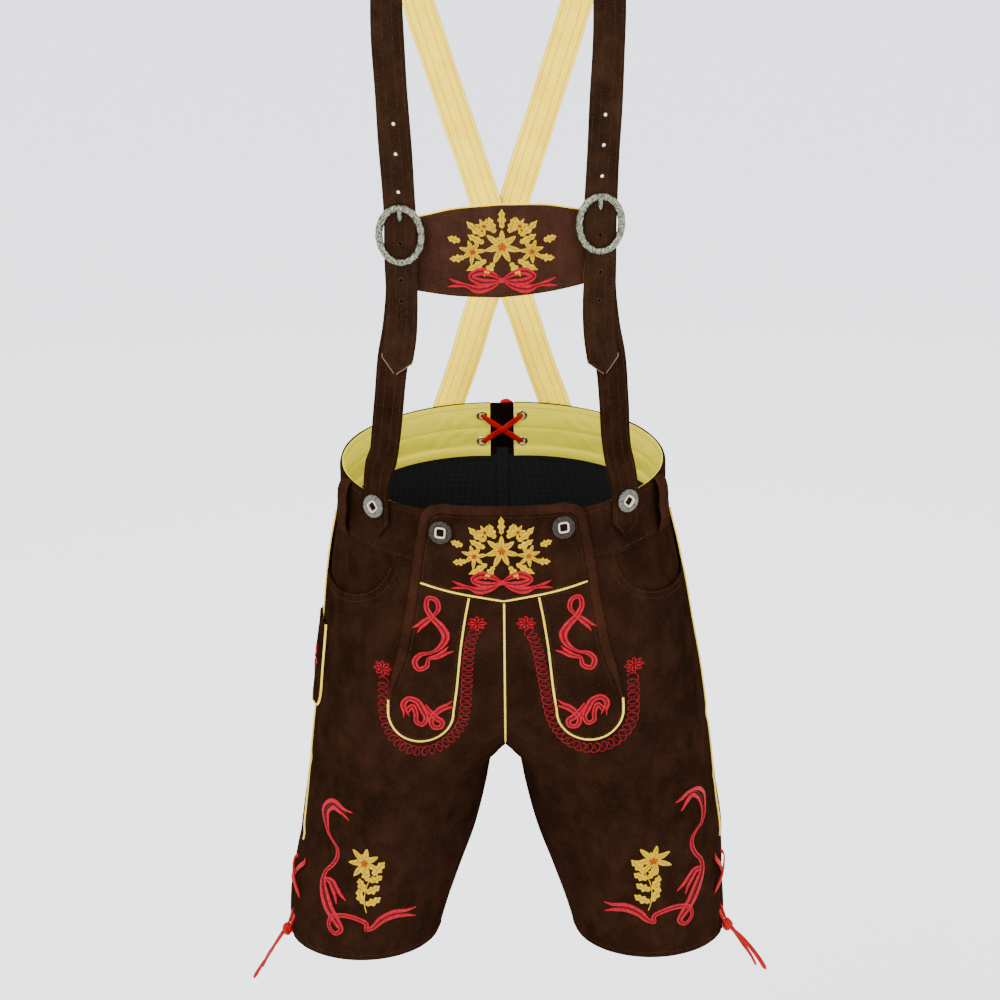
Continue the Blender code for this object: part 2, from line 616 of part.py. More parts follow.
def flap_pipings():
    reach = float(flap_edge(-0.05)) - BINDING_WIDTH - 0.0008
    x = np.concatenate([np.linspace(-reach, -0.004, 7), [0.0], np.linspace(0.004, reach, 7)])
    line = np.stack([x, yoke_level(x)], -1)
    front_strip("piping_yoke", line, piping_profile(), PIPING_WIDTH, "piping", 0.0002)
    for side, tag in ((1, "L"), (-1, "R")):
        levels = np.linspace(float(yoke_level(0.034)) - PIPING_WIDTH - 0.0005, U_CENTRE[1], 7)
        down = np.stack([smooth_column(SIDE_PANEL_LINE, 1, levels), levels], -1)
        turn = np.radians(np.arange(195, 361, 16))
        arc = np.stack([U_CENTRE[0] + U_RADIUS * np.cos(turn),
                        U_CENTRE[1] + U_RADIUS * np.sin(turn)], -1)
        rise = [(U_CENTRE[0] + U_RADIUS - 0.0004, FLAP_LOW - 0.0016)]
        line = smooth_line(np.concatenate([down, arc, rise]), 24) * [side, 1]
        front_strip("piping_flap_" + tag, line, piping_profile(), PIPING_WIDTH, "piping", 0.0002)
    levels = np.linspace(float(yoke_level(0.0)) - PIPING_WIDTH - 0.0006, -0.262, 12)
    left, _ = front_at(np.full(12, -PIPING_WIDTH / 2), levels, 0.0005)
    right, normal = front_at(np.full(12, PIPING_WIDTH / 2), levels, 0.0005)
    centre = (left + right) / 2
    normal = unit(normal * [0, 1, 1])
    rings = strip_rings(centre, normal, domed_profile(0.0, PIPING_HEIGHT, 4), PIPING_WIDTH)
    swept("piping_centre", rings, "piping")


# ---------------------------------------------------------------- trims on the legs
def side_piping(name, side):
    levels = np.linspace(BAND_SEAM - 0.002, SLIT_TOP + 0.004, 16)
    centre = moved_out(side, outseam(levels), levels, 0.0004)
    normal = outward(side, outseam(levels), levels)
    rings = strip_rings(centre, normal, piping_profile(), PIPING_WIDTH)
    return swept(name, rings, "piping")


def belt_loop(name, side):
    """A strip that stands off the waistband between its two sewn ends."""
    levels = np.linspace(BAND_TOP - 0.0005, BAND_SEAM + 0.0005, 13)
    part = np.linspace(0, 1, 13)
    off = LOOP_OFF * np.clip(np.sin(np.pi * part) * 1.6, 0, 1) ** 0.8
    base = BAND_PROUD + SEAM_GAP
    angle = np.full(13, LOOP_ANGLE) + 0.02 * (part - 0.5)
    centre = moved_out(side, angle, levels, base + off)
    normal = outward(side, angle, levels)
    profile = flat_profile(0.0, 0.0020)
    return swept(name, strip_rings(centre, normal, profile, LOOP_WIDTH), "suede_trim")


def knife_pocket():
    """The knife pocket on the wearer's right outseam, a shallow pouch with a round foot."""
    share = np.linspace(-1, 1, 9)
    part = np.array([0, 0.2, 0.42, 0.62, 0.76, 0.88, 0.96])
    round_foot = np.sqrt(1 - np.clip((part - 0.70) / 0.30, 0, 1) ** 2)
    half = 0.021 * (1.06 - 0.10 * part) * round_foot
    across = 0.010 + half[:, None] * share
    level = np.broadcast_to((-0.146 - 0.098 * part)[:, None], across.shape)
    lift = 0.0009 + 0.0034 * (1 - share ** 4) * np.sin(0.55 + 2.3 * part)[:, None]
    lift = np.maximum(lift, 0.0034 * (np.abs(across) < 0.0075))
    angle = outseam(level) + across / 0.118
    outer = moved_out(-1, angle, level, lift + SUEDE)
    inner = moved_out(-1, angle, level, lift)
    return wall("knife_pocket", outer, inner, "suede")


def button(name, centre, normal):
    """A round horn button with a raised rim and a dished middle."""
    r, t = BUTTON_RADIUS, BUTTON_THICK
    profile = [(r * 0.84, 0.0), (r, t * 0.35), (r * 0.94, t * 0.80), (r * 0.76, t),
               (r * 0.36, t * 0.62)]
    return turned(name, profile, centre, normal, 16, "horn")


# ---------------------------------------------------------------- laces
def lace_ribbon(name, points, normals, widths, knot, knot_size):
    """A flat lace along points, joined to its knot."""
    rings = strip_rings(points, normals, flat_profile(0.0, LACE_THICK), widths)
    ribbon = swept(name, rings, "red_lace")
    bpy.ops.mesh.primitive_uv_sphere_add(segments=12, ring_count=8, radius=1, location=knot)
    ball = bpy.context.object
    ball.name = name + "_knot_guide"
    ball.scale = knot_size
    ball.hide_render = True
    ball.display_type = "WIRE"
    join = ribbon.modifiers.new("knot", "BOOLEAN")
    join.operation = "UNION"
    join.object = ball
    return ribbon


def hem_lace(name, side):
    """The lace crossed over the hem's slit, tied below in a knot."""
    across, high, low, tie = 0.0165, -0.417, -0.457, -0.503
    middle = (low + high) / 2
    route = [(0.0032, tie), (0.0078, tie + 0.014), (across, low), (0.0, middle), (-across, high),
             (-0.005, high + 0.007), (0.005, high + 0.007), (across, high), (0.0, middle),
             (-across, low), (-0.0078, tie + 0.014), (-0.0032, tie)]
    flat = smooth_line(route, 36)
    first_cross = np.argmin(np.abs(flat[:18, 0]) + (flat[:18, 1] > high))
    over = np.exp(-((np.arange(36) - first_cross) / 2.5) ** 2) * 0.0030
    angle = outseam(flat[:, 1]) + flat[:, 0] / 0.083
    lift = 0.0008 + over + 0.0030 * smooth_step(-flat[:, 1], -(tie + 0.010), -tie)
    points = moved_out(side, angle, flat[:, 1], lift)
    normals = outward(side, angle, flat[:, 1])
    knot = moved_out(side, outseam(tie), np.array(tie - 0.003), 0.0058)
    widths = LACE_WIDTH * (0.72 + 0.28 * smooth_step(flat[:, 1], tie, tie + 0.016))
    return lace_ribbon(name, points, normals, widths, knot, (0.0050, 0.0066, 0.0068))


LACE_ENDS = {
    # node: side, route as offsets from the knot in metres, mirrored on the wearer's right
    "hem_lace_end_L1": (1, [(0.0, -0.001, 0.0), (0.0090, -0.0040, -0.0070), (0.0200, -0.0070, -0.0190),
                            (0.0300, -0.0085, -0.0330), (0.0375, -0.0090, -0.0460)]),
    "hem_lace_end_L2": (1, [(-0.0005, 0.0042, 0.0), (0.0066, 0.0052, -0.0105), (0.0150, 0.0050, -0.0240),
                            (0.0225, 0.0070, -0.0370), (0.0285, 0.0080, -0.0500)]),
    "hem_lace_end_R1": (-1, [(0.0, -0.001, 0.0), (0.0075, -0.0040, -0.0095), (0.0165, -0.0070, -0.0230),
                             (0.0255, -0.0085, -0.0370), (0.0330, -0.0090, -0.0500)]),
    "hem_lace_end_R2": (-1, [(-0.0005, 0.0042, 0.0), (0.0056, 0.0052, -0.0100), (0.0130, 0.0050, -0.0220),
                             (0.0195, 0.0070, -0.0340), (0.0245, 0.0080, -0.0460)]),
}


def lace_end(name, points, count=9):
    """A free end of a lace: a tube along its route."""
    route = smooth_line(points, count)
    curve = bpy.data.curves.new(name, "CURVE")
    curve.dimensions = "3D"
    curve.bevel_depth = LACE_END_RADIUS
    curve.bevel_resolution = 2
    curve.use_fill_caps = True
    spline = curve.splines.new("POLY")
    spline.points.add(count - 1)
    for point, place in zip(spline.points, route):
        point.co = (*place, 1)
    curve.materials.append(MATERIALS["red_lace"])
    item = bpy.data.objects.new(name, curve)
    bpy.context.collection.objects.link(item)
    return item


def hem_lace_ends():
    for name, (side, offsets) in LACE_ENDS.items():
        knot = moved_out(side, outseam(-0.503), np.array(-0.506), 0.0058)
        start = np.array([side * 0.0046, 0.0, -0.0043])
        points = [knot + start + np.array(offset) * [side, 1, 1] for offset in offsets]
        lace_end(name, points)


def back_at(x, level, out):
    """A point on the back at x and a level, and its normal."""
    side = 1 if x >= 0 else -1
    angle = -angle_at_x(x, level)
    return moved_out(side, angle, np.array(level), out), outward(side, angle, np.array(level))


EYELET_PLACES = [(x, level) for x in (0.0215, -0.0215) for level in (0.0105, -0.0210)]


def back_eyelets(bands):
    """Four eyelets through the waistband and its facing, beside the notch."""
    thick = BAND + SEAM_GAP + LINING
    for i, (x, level) in enumerate(EYELET_PLACES):
        centre, normal = back_at(x, level, BAND_PROUD - thick / 2)
        half = thick / 2 + EYELET_LIFT
        r, flange = EYELET_HOLE / 2, EYELET_FLANGE / 2
        profile = [(r, -half - EYELET_LIFT), (flange, -half), (r + 0.0007, -half), (r + 0.0007, half),
                   (flange, half), (r, half + EYELET_LIFT)]
        turned("eyelet_%d" % (i + 1), profile, centre, normal, 12, "old_silver", hollow=True)
        bpy.ops.mesh.primitive_cylinder_add(vertices=12, radius=r + 0.0012, depth=0.02)
        cutter = bpy.context.object
        cutter.name = "eyelet_cutter_%d" % (i + 1)
        cutter.location = centre
        cutter.rotation_euler = quaternion_to(normal)
        cutter.hide_render = True
        cutter.display_type = "WIRE"
        for item in bands[1 if x > 0 else -1]:
            cut = item.modifiers.new("eyelet", "BOOLEAN")
            cut.operation = "DIFFERENCE"
            cut.object = cutter


def quaternion_to(normal):
    """Rotation that turns +Z to a direction."""
    return Vector(normal).to_track_quat("Z", "Y").to_euler()


def back_lace_stops():
    """The lace's route: crossed on the inside of the notch, passing outside below it.
    Each stop has x, level, how far out it lies and the direction across the lace, in degrees."""
    inside = BAND_PROUD - BAND - SEAM_GAP - LINING - 0.0018 - 0.0006 - LACE_THICK / 2
    outside = BAND_PROUD + 0.0018 + 0.0006 + LACE_THICK / 2
    middle = (inside + outside) / 2
    (x, high), (_, low) = EYELET_PLACES[0], EYELET_PLACES[1]
    one, two, level = 125, 55, 90
    crossing = (high + low) / 2
    half = [
        (x, high, middle + 0.0008, one), (x - 0.0002, high - 0.0001, inside + 0.0022, one),
        (x - 0.0016, high - 0.0011, inside + 0.0004, one), (x - 0.0045, high - 0.0032, inside, one),
        (0.0085, crossing + 0.0060, inside - 0.0002, one), (0.0, crossing, inside - 0.0020, one),
        (-0.0085, crossing - 0.0060, inside - 0.0002, one), (-x + 0.0045, low + 0.0032, inside, one),
        (-x + 0.0016, low + 0.0011, inside + 0.0004, one), (-x, low, inside + 0.0022, 115),
        (-x, low, middle, 107), (-x, low, outside - 0.0022, 99),
        (-x + 0.0018, low, outside - 0.0004, level), (-x + 0.0050, low, outside, level),
        (-0.0080, low, outside + 0.0004, level), (0.0, low, outside + 0.0006, level),
    ]
    other = [(-x_, level_, out + (0.0020 if abs(x_) < 0.001 and out < 0 else 0.0), 180 - turn)
             for x_, level_, out, turn in half[-2::-1]]
    return half + other


def back_lace():
    stops = back_lace_stops()
    points = np.array([back_at(stop[0], stop[1], stop[2])[0] for stop in stops])
    turns = np.radians([stop[3] for stop in stops])
    normal = back_at(0.0005, 0.0, 0.0)[1]
    up = unit(np.cross(normal, [-1.0, 0.0, 0.0]))
    up = up if up[2] > 0 else -up
    across = np.cos(turns)[:, None] * [1.0, 0.0, 0.0] + np.sin(turns)[:, None] * up
    line = smooth_line(np.concatenate([points, across * 0.001], axis=1), 58)
    centre, across = line[:, :3], unit(line[:, 3:])
    along = unit(np.gradient(centre, axis=0))
    across = unit(across - along * np.sum(across * along, axis=1)[:, None])
    lift = np.cross(across, along)
    half_w, half_t = 0.0019, LACE_THICK / 2
    corners = [(half_w, -half_t), (half_w, half_t), (-half_w, half_t), (-half_w, -half_t)]
    rings = np.stack([centre + across * a + lift * b for a, b in corners], axis=1)
    return swept("back_lace", rings, "red_lace")


def back_knot():
    """The knot outside, above the notch, with a strip to each upper eyelet."""
    outside = BAND_PROUD + 0.0018 + 0.0004
    x, high = EYELET_PLACES[0]
    stops = [(-x + 0.0006, high, outside), (-0.0130, high + 0.0030, outside + 0.0003),
             (-0.0050, high + 0.0062, outside + 0.0014), (0.0, high + 0.0070, outside + 0.0020),
             (0.0050, high + 0.0062, outside + 0.0014), (0.0130, high + 0.0030, outside + 0.0003),
             (x - 0.0006, high, outside)]
    points = smooth_line([back_at(*stop)[0] for stop in stops], 16)
    normals = np.tile(back_at(0.0005, 0.0, 0.0)[1], (16, 1))
    knot = back_at(0.0045, high + 0.0090, outside + 0.0030)[0]
    return lace_ribbon("back_knot", points, normals, 0.0042, knot, (0.0072, 0.0042, 0.0056))


BACK_ENDS = {
    # node: route as offsets from the knot in metres, down the outside of the waistband
    "back_lace_end_L": [(0.0058, 0.0022, -0.0040), (0.0085, 0.0052, -0.0110),
                        (0.0110, 0.0078, -0.0230), (0.0135, 0.0102, -0.0400),
                        (0.0140, 0.0128, -0.0580), (0.0150, 0.0156, -0.0780)],
    "back_lace_end_R": [(-0.0058, 0.0022, -0.0040), (-0.0080, 0.0052, -0.0110),
                        (-0.0095, 0.0078, -0.0230), (-0.0105, 0.0102, -0.0380),
                        (-0.0120, 0.0124, -0.0540), (-0.0120, 0.0148, -0.0700)],
}


def back_lace_ends():
    knot = back_at(0.0045, EYELET_PLACES[0][1] + 0.0090, BAND_PROUD + 0.0048)[0]
    for name, offsets in BACK_ENDS.items():
        lace_end(name, [knot + np.array(offset) for offset in offsets])


# ---------------------------------------------------------------- braces
def table_points(table, side):
    points = np.stack([side * table[:, 0], table[:, 1], WAIST_Z + table[:, 2]], -1)
    return np.concatenate([points, side * table[:, 3:4]], axis=1)


def end_points(places, side, front, out):
    """Points on the waistband with their lean, from (x, level) places."""
    rows = []
    for x, level in places:
        if front:
            point, normal = front_at(side * x, level, out)
        else:
            point, normal = back_at(-side * x, level, out)
        rows.append([*point, normal[0] / abs(normal[1])])
    return np.array(rows)


def strap_frame(rows, count):
    """Even points along a strap and the direction in which it faces."""
    line = smooth_line(rows, count)
    points, lean = line[:, :3], line[:, 3]
    along = unit(np.gradient(points, axis=0))
    facing = unit(np.cross(np.tile([1.0, 0.0, 0.0], (count, 1)), along * [0, 1, 1]))
    return points, unit(facing + lean[:, None] * [1.0, 0.0, 0.0])


def lower_rows(side):
    ends = [(x - LOWER_SHIFT[side], level) for x, level in LOWER_END]
    table = LOWER_LINE.copy()
    table[:, 0] -= LOWER_SHIFT[side] * smooth_step(-table[:, 2], -0.165, -0.030)
    start = end_points(ends, side, True, BAND_PROUD + 0.0006)
    return np.concatenate([start, table_points(table, side)])


def brace_rows(side):
    """The long strap: over the lower strap, through the buckle, over the shoulder and down."""
    points, facing = strap_frame(lower_rows(side), 200)
    rise = points[:, 2] - WAIST_Z
    sideways = unit(np.cross(np.gradient(points, axis=0), facing))
    sideways *= -np.sign(sideways[:, :1]) * side
    hang = []
    for level in np.linspace(TIP_RISE, 0.2720, 7):
        i = int(np.argmin(np.abs(rise - level)))
        free = smooth_step(-level, -0.27, -TIP_RISE)
        lie = points[i] + facing[i] * (LINING + SEAM_GAP + STRAP_SUEDE + 0.0006 + 0.0008 * free)
        lie = lie + sideways[i] * TIP_SHIFT[side] * free
        hang.append([*lie, facing[i][0] / abs(facing[i][1])])
    end = end_points(BRACE_END, side, False, BAND_PROUD + 0.0010)
    return np.concatenate([hang, table_points(BRACE_LINE, side), end])


def strap_pieces(name, rows, count, bump=0.0):
    """A strap of suede with a lining under it, and a pointed tip at its front end."""
    line, out = strap_frame(rows, count)
    if bump:
        middle = np.argmin(np.abs(line[:, 0]) + (line[:, 1] < 0))
        away = np.linalg.norm(line - line[middle], axis=1)
        line = line + out * (bump * np.exp(-(away / 0.098) ** 4))[:, None]
    far = np.linalg.norm(line - line[0], axis=1)
    point = np.array([0.0, 0.5, 1.0]) * TIP_LENGTH
    keep = far > TIP_LENGTH + 0.0025
    keep[0] = False
    front = line[0] + (line[keep][0] - line[0]) * (point / far[keep][0])[:, None]
    facing = np.tile(out[0], (3, 1))
    line, out = np.concatenate([front, line[keep]]), np.concatenate([facing, out[keep]])
    width = np.full(len(line), STRAP_WIDTH)
    width[:3] = 0.0035, 0.018, STRAP_WIDTH
    layers = (("_lining", 0.0, LINING, "cream_leather"),
              ("", LINING + SEAM_GAP, STRAP_SUEDE, "strap_suede"))
    for suffix, low, thick, material in layers:
        rings = strip_rings(line, out, flat_profile(low, low + thick), width)
        swept(name + suffix, rings, material)
    return line, out


def buckle(name, side, line, out):
    """An oval frame over the strap, with the tip of its prong at the top."""
    rise = BUCKLE_RISES[side]
    in_front = line[:, 1] < 0
    nearest = np.argmin(np.where(in_front, np.abs(line[:, 2] - WAIST_Z - rise), 1.0))
    normal = out[nearest]
    up = unit(np.cross(normal, [1.0, 0.0, 0.0]))
    up = up if up[2] > 0 else -up
    right = np.cross(up, normal)
    base = LINING + SEAM_GAP + STRAP_SUEDE + 0.0004
    centre = line[nearest] + normal * base
    centre = centre + up * ((WAIST_Z + rise) - centre[2])
    half_w, half_h = BUCKLE_SIZE[0] / 2 - BUCKLE_BAND / 2, BUCKLE_SIZE[1] / 2 - BUCKLE_BAND / 2
    turn = np.linspace(0, 2 * np.pi, 30, endpoint=False)
    middle = np.stack([half_w * np.cos(turn), half_h * np.sin(turn)], -1)
    radial = unit(np.stack([np.cos(turn) / half_w, np.sin(turn) / half_h], -1))
    section_points = [(-0.5, 0.0), (0.5, 0.0), (0.48, 0.5), (0.22, 0.95), (-0.22, 0.95), (-0.48, 0.5)]
    rings = []
    for (x, z), (nx, nz) in zip(middle, radial):
        ring = []
        for side_part, out_part in section_points:
            px, pz = x + nx * side_part * BUCKLE_BAND, z + nz * side_part * BUCKLE_BAND
            ring.append(centre + right * px + up * pz + normal * out_part * BUCKLE_THICK)
        rings.append(ring)
    frame = swept(name, np.array(rings), "old_silver", ring_closed=True)
    tip_z = half_h - BUCKLE_BAND / 2
    prong = [(0.0016, tip_z - 0.0090), (0.0026, tip_z - 0.0070), (0.0028, tip_z + 0.0030),
             (-0.0028, tip_z + 0.0030), (-0.0026, tip_z - 0.0070), (-0.0016, tip_z - 0.0090)]
    rings = np.array([[centre + right * x + up * z + normal * o for x, z in prong]
                      for o in (0.0004, 0.0026)])
    tongue = swept(name + "_prong_guide", rings, "old_silver")
    tongue.hide_render = True
    tongue.display_type = "WIRE"
    join = frame.modifiers.new("prong", "BOOLEAN")
    join.operation = "UNION"
    join.object = tongue
    return frame


def breast_bar():
    """The bar between the braces, curved round the chest, with its lining behind."""
    x = np.linspace(-0.0880, 0.0880, 13)
    low = smooth_column(BAR_EDGES, 1, np.abs(x))
    high = smooth_column(BAR_EDGES, 2, np.abs(x))
    share = np.linspace(0, 1, 4)[:, None]
    rise = low + (high - low) * share + BAR_TILT * x
    rest = np.interp(rise, [0.2050, 0.2550, 0.2800, 0.3150], [-0.1148, -0.1200, -0.1216, -0.1226])
    bulge = 0.0090 * (1 - (x / 0.088) ** 2)
    y = rest - 0.0002 - bulge
    grid = np.stack([np.broadcast_to(x, rise.shape), y, WAIST_Z + rise], -1)
    wall("breast_bar", grid, grid + [0, STRAP_SUEDE, 0], "strap_suede")
    behind = grid + [0, STRAP_SUEDE + SEAM_GAP, 0]
    wall("breast_bar_lining", behind, behind + [0, LINING, 0], "cream_leather")


# ---------------------------------------------------------------- the whole garment
def clear_scene():
    for item in list(bpy.data.objects):
        bpy.data.objects.remove(item, do_unlink=True)


def build_trousers():
    bands = {}
    for side, tag in ((1, "L"), (-1, "R")):
        leg_panel("front_leg_" + tag, side, back=False)
        leg_panel("back_leg_" + tag, side, back=True)
        pocket_facing("pocket_facing_" + tag, side)
        band = (BAND_TOP, -0.004, BAND_SEAM)
        outs = (BAND_PROUD,) * 3
        band_piece("waistband_front_" + tag, side, ["front"], band, outs, BAND, "suede")
        back = band_piece("waistband_back_" + tag, side, ["back"], band, outs, BAND, "suede")
        levels = (BAND_TOP - 0.0006, -0.004, -0.0275, BAND_SEAM + 0.0005, FACING_LOW)
        under = BAND_PROUD - BAND - SEAM_GAP
        outs = (under, under, under - 0.0003, under - 0.0027, under - 0.0029)
        halves = ["back", "front"]
        facing = band_piece("facing_" + tag, side, halves, levels, outs, LINING, "facing_cloth")
        seat_lining("seat_lining_" + tag, side)
        side_piping("piping_side_" + tag, side)
        belt_loop("belt_loop_" + tag, side)
        bands[side] = (back, facing)
    back_gusset()
    back_eyelets(bands)
    knife_pocket()


def build_flap():
    flap_top_piece()
    flap_side_piece("flap_side_L", 1)
    flap_side_piece("flap_side_R", -1)
    flap_binding()
    flap_pipings()
    for side, tag in ((1, "L"), (-1, "R")):
        x, level = FLAP_BUTTONS[side]
        centre, normal = front_at(x, level, flap_lift(level) + SUEDE + 0.0004)
        button("flap_button_" + tag, centre, normal)


def strap_button(name, centre, normal):
    lift = LINING + SEAM_GAP + STRAP_SUEDE + 0.0016
    return button(name, centre + normal * lift, normal)


def build_braces():
    for side, tag in ((1, "L"), (-1, "R")):
        line, out = strap_pieces("strap_lower_" + tag, lower_rows(side), 19)
        place = front_at(side * 0.1262, STRAP_BUTTONS[side])[0]
        near = int(np.argmin(np.abs(line[:, 2] - place[2])))
        strap_button("strap_button_" + tag, line[near], out[near])
        line, out = strap_pieces("strap_" + tag, brace_rows(side), 48, 0.0042 if side == 1 else 0.0)
        strap_button("back_button_" + tag, (line[-2] + line[-1]) / 2, unit(out[-2] + out[-1]))
        buckle("buckle_" + tag, side, line, out)
    breast_bar()


MATERIALS = {}


def main():
    clear_scene()
    for name in COLOURS:
        MATERIALS[name] = make_material(name)
    build_trousers()
    build_flap()
    build_braces()
    for side, tag in ((1, "L"), (-1, "R")):
        hem_lace("hem_lace_" + tag, side)
    hem_lace_ends()
    back_lace()
    back_knot()
    back_lace_ends()


main()
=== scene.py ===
# %% [markdown]
# # Lederhosen with H-shaped braces
# Bavarian leather shorts: dark brown suede, a drop-front flap, cream piping, red and gold
# embroidery, laced slits at the hem, and braces joined by a bar across the chest. The garment
# is shown filled out, as if worn, with nobody in it.
#
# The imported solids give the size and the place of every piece. This script dresses them: each
# soft solid is replaced by a finer surface of the same form, and thread, stitches and punched
# holes are laid on top. Almost every piece is a surface worked out with numpy: a function of
# two parameters on a grid, or a profile carried along a line.

# %% The frame, and the numbers that the whole garment shares
import math

import bpy
import numpy as np
from mathutils import Matrix


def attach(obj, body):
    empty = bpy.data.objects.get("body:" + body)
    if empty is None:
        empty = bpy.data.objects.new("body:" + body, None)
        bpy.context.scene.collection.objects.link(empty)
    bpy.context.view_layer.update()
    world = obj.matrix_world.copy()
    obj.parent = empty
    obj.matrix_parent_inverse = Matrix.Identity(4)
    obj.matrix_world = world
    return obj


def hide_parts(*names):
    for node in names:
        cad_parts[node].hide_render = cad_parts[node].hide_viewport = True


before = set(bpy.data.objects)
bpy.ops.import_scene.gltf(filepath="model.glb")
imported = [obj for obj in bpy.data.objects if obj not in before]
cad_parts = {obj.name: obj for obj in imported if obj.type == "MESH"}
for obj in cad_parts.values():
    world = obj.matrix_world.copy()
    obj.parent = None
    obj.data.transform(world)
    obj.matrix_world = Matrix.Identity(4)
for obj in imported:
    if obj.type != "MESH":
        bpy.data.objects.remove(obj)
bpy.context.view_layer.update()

MM = 0.001
WAIST_Z = -0.57                  # front top of the waistband, below the shoulders
WAIST_TILT = 0.2243              # how steeply the waist rises towards the back
LEG_RADIUS = 0.1                 # a fold's depth is a share of this
FOLD_BEND = 1.8                  # how much a fold curves away from a straight line
SEAM_GAP = 0.3 * MM
SUEDE, BAND, LINING = 1.6 * MM, 2.4 * MM, 1.0 * MM
BAND_PROUD = 0.8 * MM
BAND_TOP, BAND_SEAM = 0.024, -0.031
FACING_LOW, LINING_LOW, HEM = -0.038, -0.19, -0.514
SPLIT_TOP, CROTCH, SLIT_TOP = -0.19, -0.292, -0.404
POCKET_LOW, POCKET_ANGLE = -0.0945, math.radians(53)
TIE, NOTCH = -0.503, 0.025       # where the hem's lace is tied; how wide the notch behind is
PANEL_WIDTH, QUARTER_WAIST = 0.28, 0.2          # a seam's allowance is a share of these
# metres round the leg to a radian, at the folds, the pocket's mouth, its stitches, the knife
# pocket, the hem and the belt loops
FOLD_ARC, MOUTH_ARC, STITCH_ARC = 0.11, 0.115, 0.125
POUCH_ARC, HEM_ARC, LOOP_ARC = 0.118, 0.083, 0.155
SIDES = ((1, "L"), (-1, "R"))    # the wearer's left is at +X

# %% [markdown]
# ## Camera, light and floor
# A long lens from 3.2 m away, 20 degrees above the waist, keeps the garment free of strong
# perspective. The light is the plain soft light of a product studio: one large panel high on
# the left, a weaker one on the right and a pale surround, so shadows are soft and nap shows.
# The floor lies where the wearer would stand, well below the hem.

# %% Camera, light and floor
CHEST = (0.0, 0.0, -0.55)
FLOOR_Z, FLOOR_HALF = -1.62, 30


def add_object(name, data):
    """A new object that holds the data, linked to the scene."""
    item = bpy.data.objects.new(name, data)
    bpy.context.collection.objects.link(item)
    return item


def light_panel(name, place, size, power):
    """A square area light at a place, turned to face the chest."""
    lamp = bpy.data.lights.new(name, "AREA")
    lamp.shape, lamp.size, lamp.energy = "SQUARE", size, power
    away = np.subtract(place, CHEST)
    pitch = math.atan2(np.hypot(away[0], away[1]), away[2])
    item = add_object(name, lamp)
    item.location, item.rotation_euler = place, (pitch, 0, math.atan2(away[0], -away[1]))


camera = add_object("camera", bpy.data.cameras.new("camera"))
camera.data.lens, camera.data.sensor_width, camera.data.clip_end = 118.8, 36, 200
camera.location = (-0.003, -3.2029, 0.5728)
pitch_down = Matrix.Rotation(math.radians(90 - 20), 4, "X")
slight_roll = Matrix.Rotation(math.radians(-0.6), 4, "Z")
camera.rotation_euler = (pitch_down @ slight_roll).to_euler()
bpy.context.scene.camera = camera

light_panel("key_panel", (-1.9, -2.8, 1.7), 2.2, 130)
light_panel("fill_panel", (2.6, -2.2, 0.6), 2.4, 46)
light_panel("back_panel", (0.4, 2.6, 1.6), 2.0, 50)
world = bpy.context.scene.world or bpy.data.worlds.new("surround")
bpy.context.scene.world = world
world.use_nodes = True
surround = world.node_tree.nodes["Background"].inputs
surround["Color"].default_value = (0.92, 0.94, 1.0, 1)
surround["Strength"].default_value = 2.5

floor_mesh = bpy.data.meshes.new("floor")
corners = [(x * FLOOR_HALF, y * FLOOR_HALF, FLOOR_Z) for x, y in ((-1, -1), (1, -1), (1, 1), (-1, 1))]
floor_mesh.from_pydata(corners, [], [(0, 1, 2, 3)])
add_object("floor", floor_mesh)
print("camera", tuple(round(value, 3) for value in camera.location))

# %% [markdown]
# ## Colours and nodes
# Colours are written as the eye sees them, in sRGB hex, and one function turns them linear.
# A second function adds a node, sets its sockets and links it. Every finish here is colours
# laid one over another, each through its own pattern, and a bump pressed by a pattern's
# height; two more functions do that, so each material reads as a short list of layers.

# %% The helpers for materials
def linear(colour):
    """A hex sRGB colour as linear red, green, blue and alpha."""
    parts = [int(colour[i:i + 2], 16) / 255 for i in (1, 3, 5)]
    return [c / 12.92 if c <= 0.04045 else ((c + 0.055) / 1.055) ** 2.4 for c in parts] + [1.0]


def add_node(tree, kind, sockets=(), **settings):
    """Add a node; a socket's value is a number, a colour in hex, or the output linked to it."""
    node = tree.nodes.new("ShaderNode" + kind)
    for name, value in settings.items():
        setattr(node, name, value)
    for name, value in dict(sockets).items():
        if isinstance(value, bpy.types.NodeSocket):
            tree.links.new(value, node.inputs[name])
        else:
            node.inputs[name].default_value = linear(value) if isinstance(value, str) else value
    return node


def new_material(name, shader):
    """A material with a Principled shader; returns it with its tree and its object coordinates."""
    material = bpy.data.materials.new(name)
    material.use_nodes = True
    tree = material.node_tree
    for socket, value in shader.items():
        value = linear(value) if isinstance(value, str) else value
        tree.nodes["Principled BSDF"].inputs[socket].default_value = value
    return material, tree, add_node(tree, "TexCoord").outputs["Object"]


def paint(material, ground, layers, relief=None):
    """Colours over a ground, each by pattern * share, and a relief of (height, strength, mm)."""
    tree = material.node_tree
    shader = tree.nodes["Principled BSDF"].inputs
    for pattern, share, colour in layers:
        part = add_node(tree, "Math", {0: pattern, 1: share}, operation="MULTIPLY").outputs[0]
        # sockets 0, 6 and 7 of a colour mix are its factor and its two colours
        ground = add_node(tree, "Mix", {0: part, 6: ground, 7: colour}, data_type="RGBA").outputs[2]
    tree.links.new(ground, shader["Base Color"])
    if relief:
        height, strength, depth_mm = relief
        bump = add_node(tree, "Bump", {"Height": height, "Strength": strength, "Distance": depth_mm * MM})
        tree.links.new(bump.outputs[0], shader["Normal"])
    return material


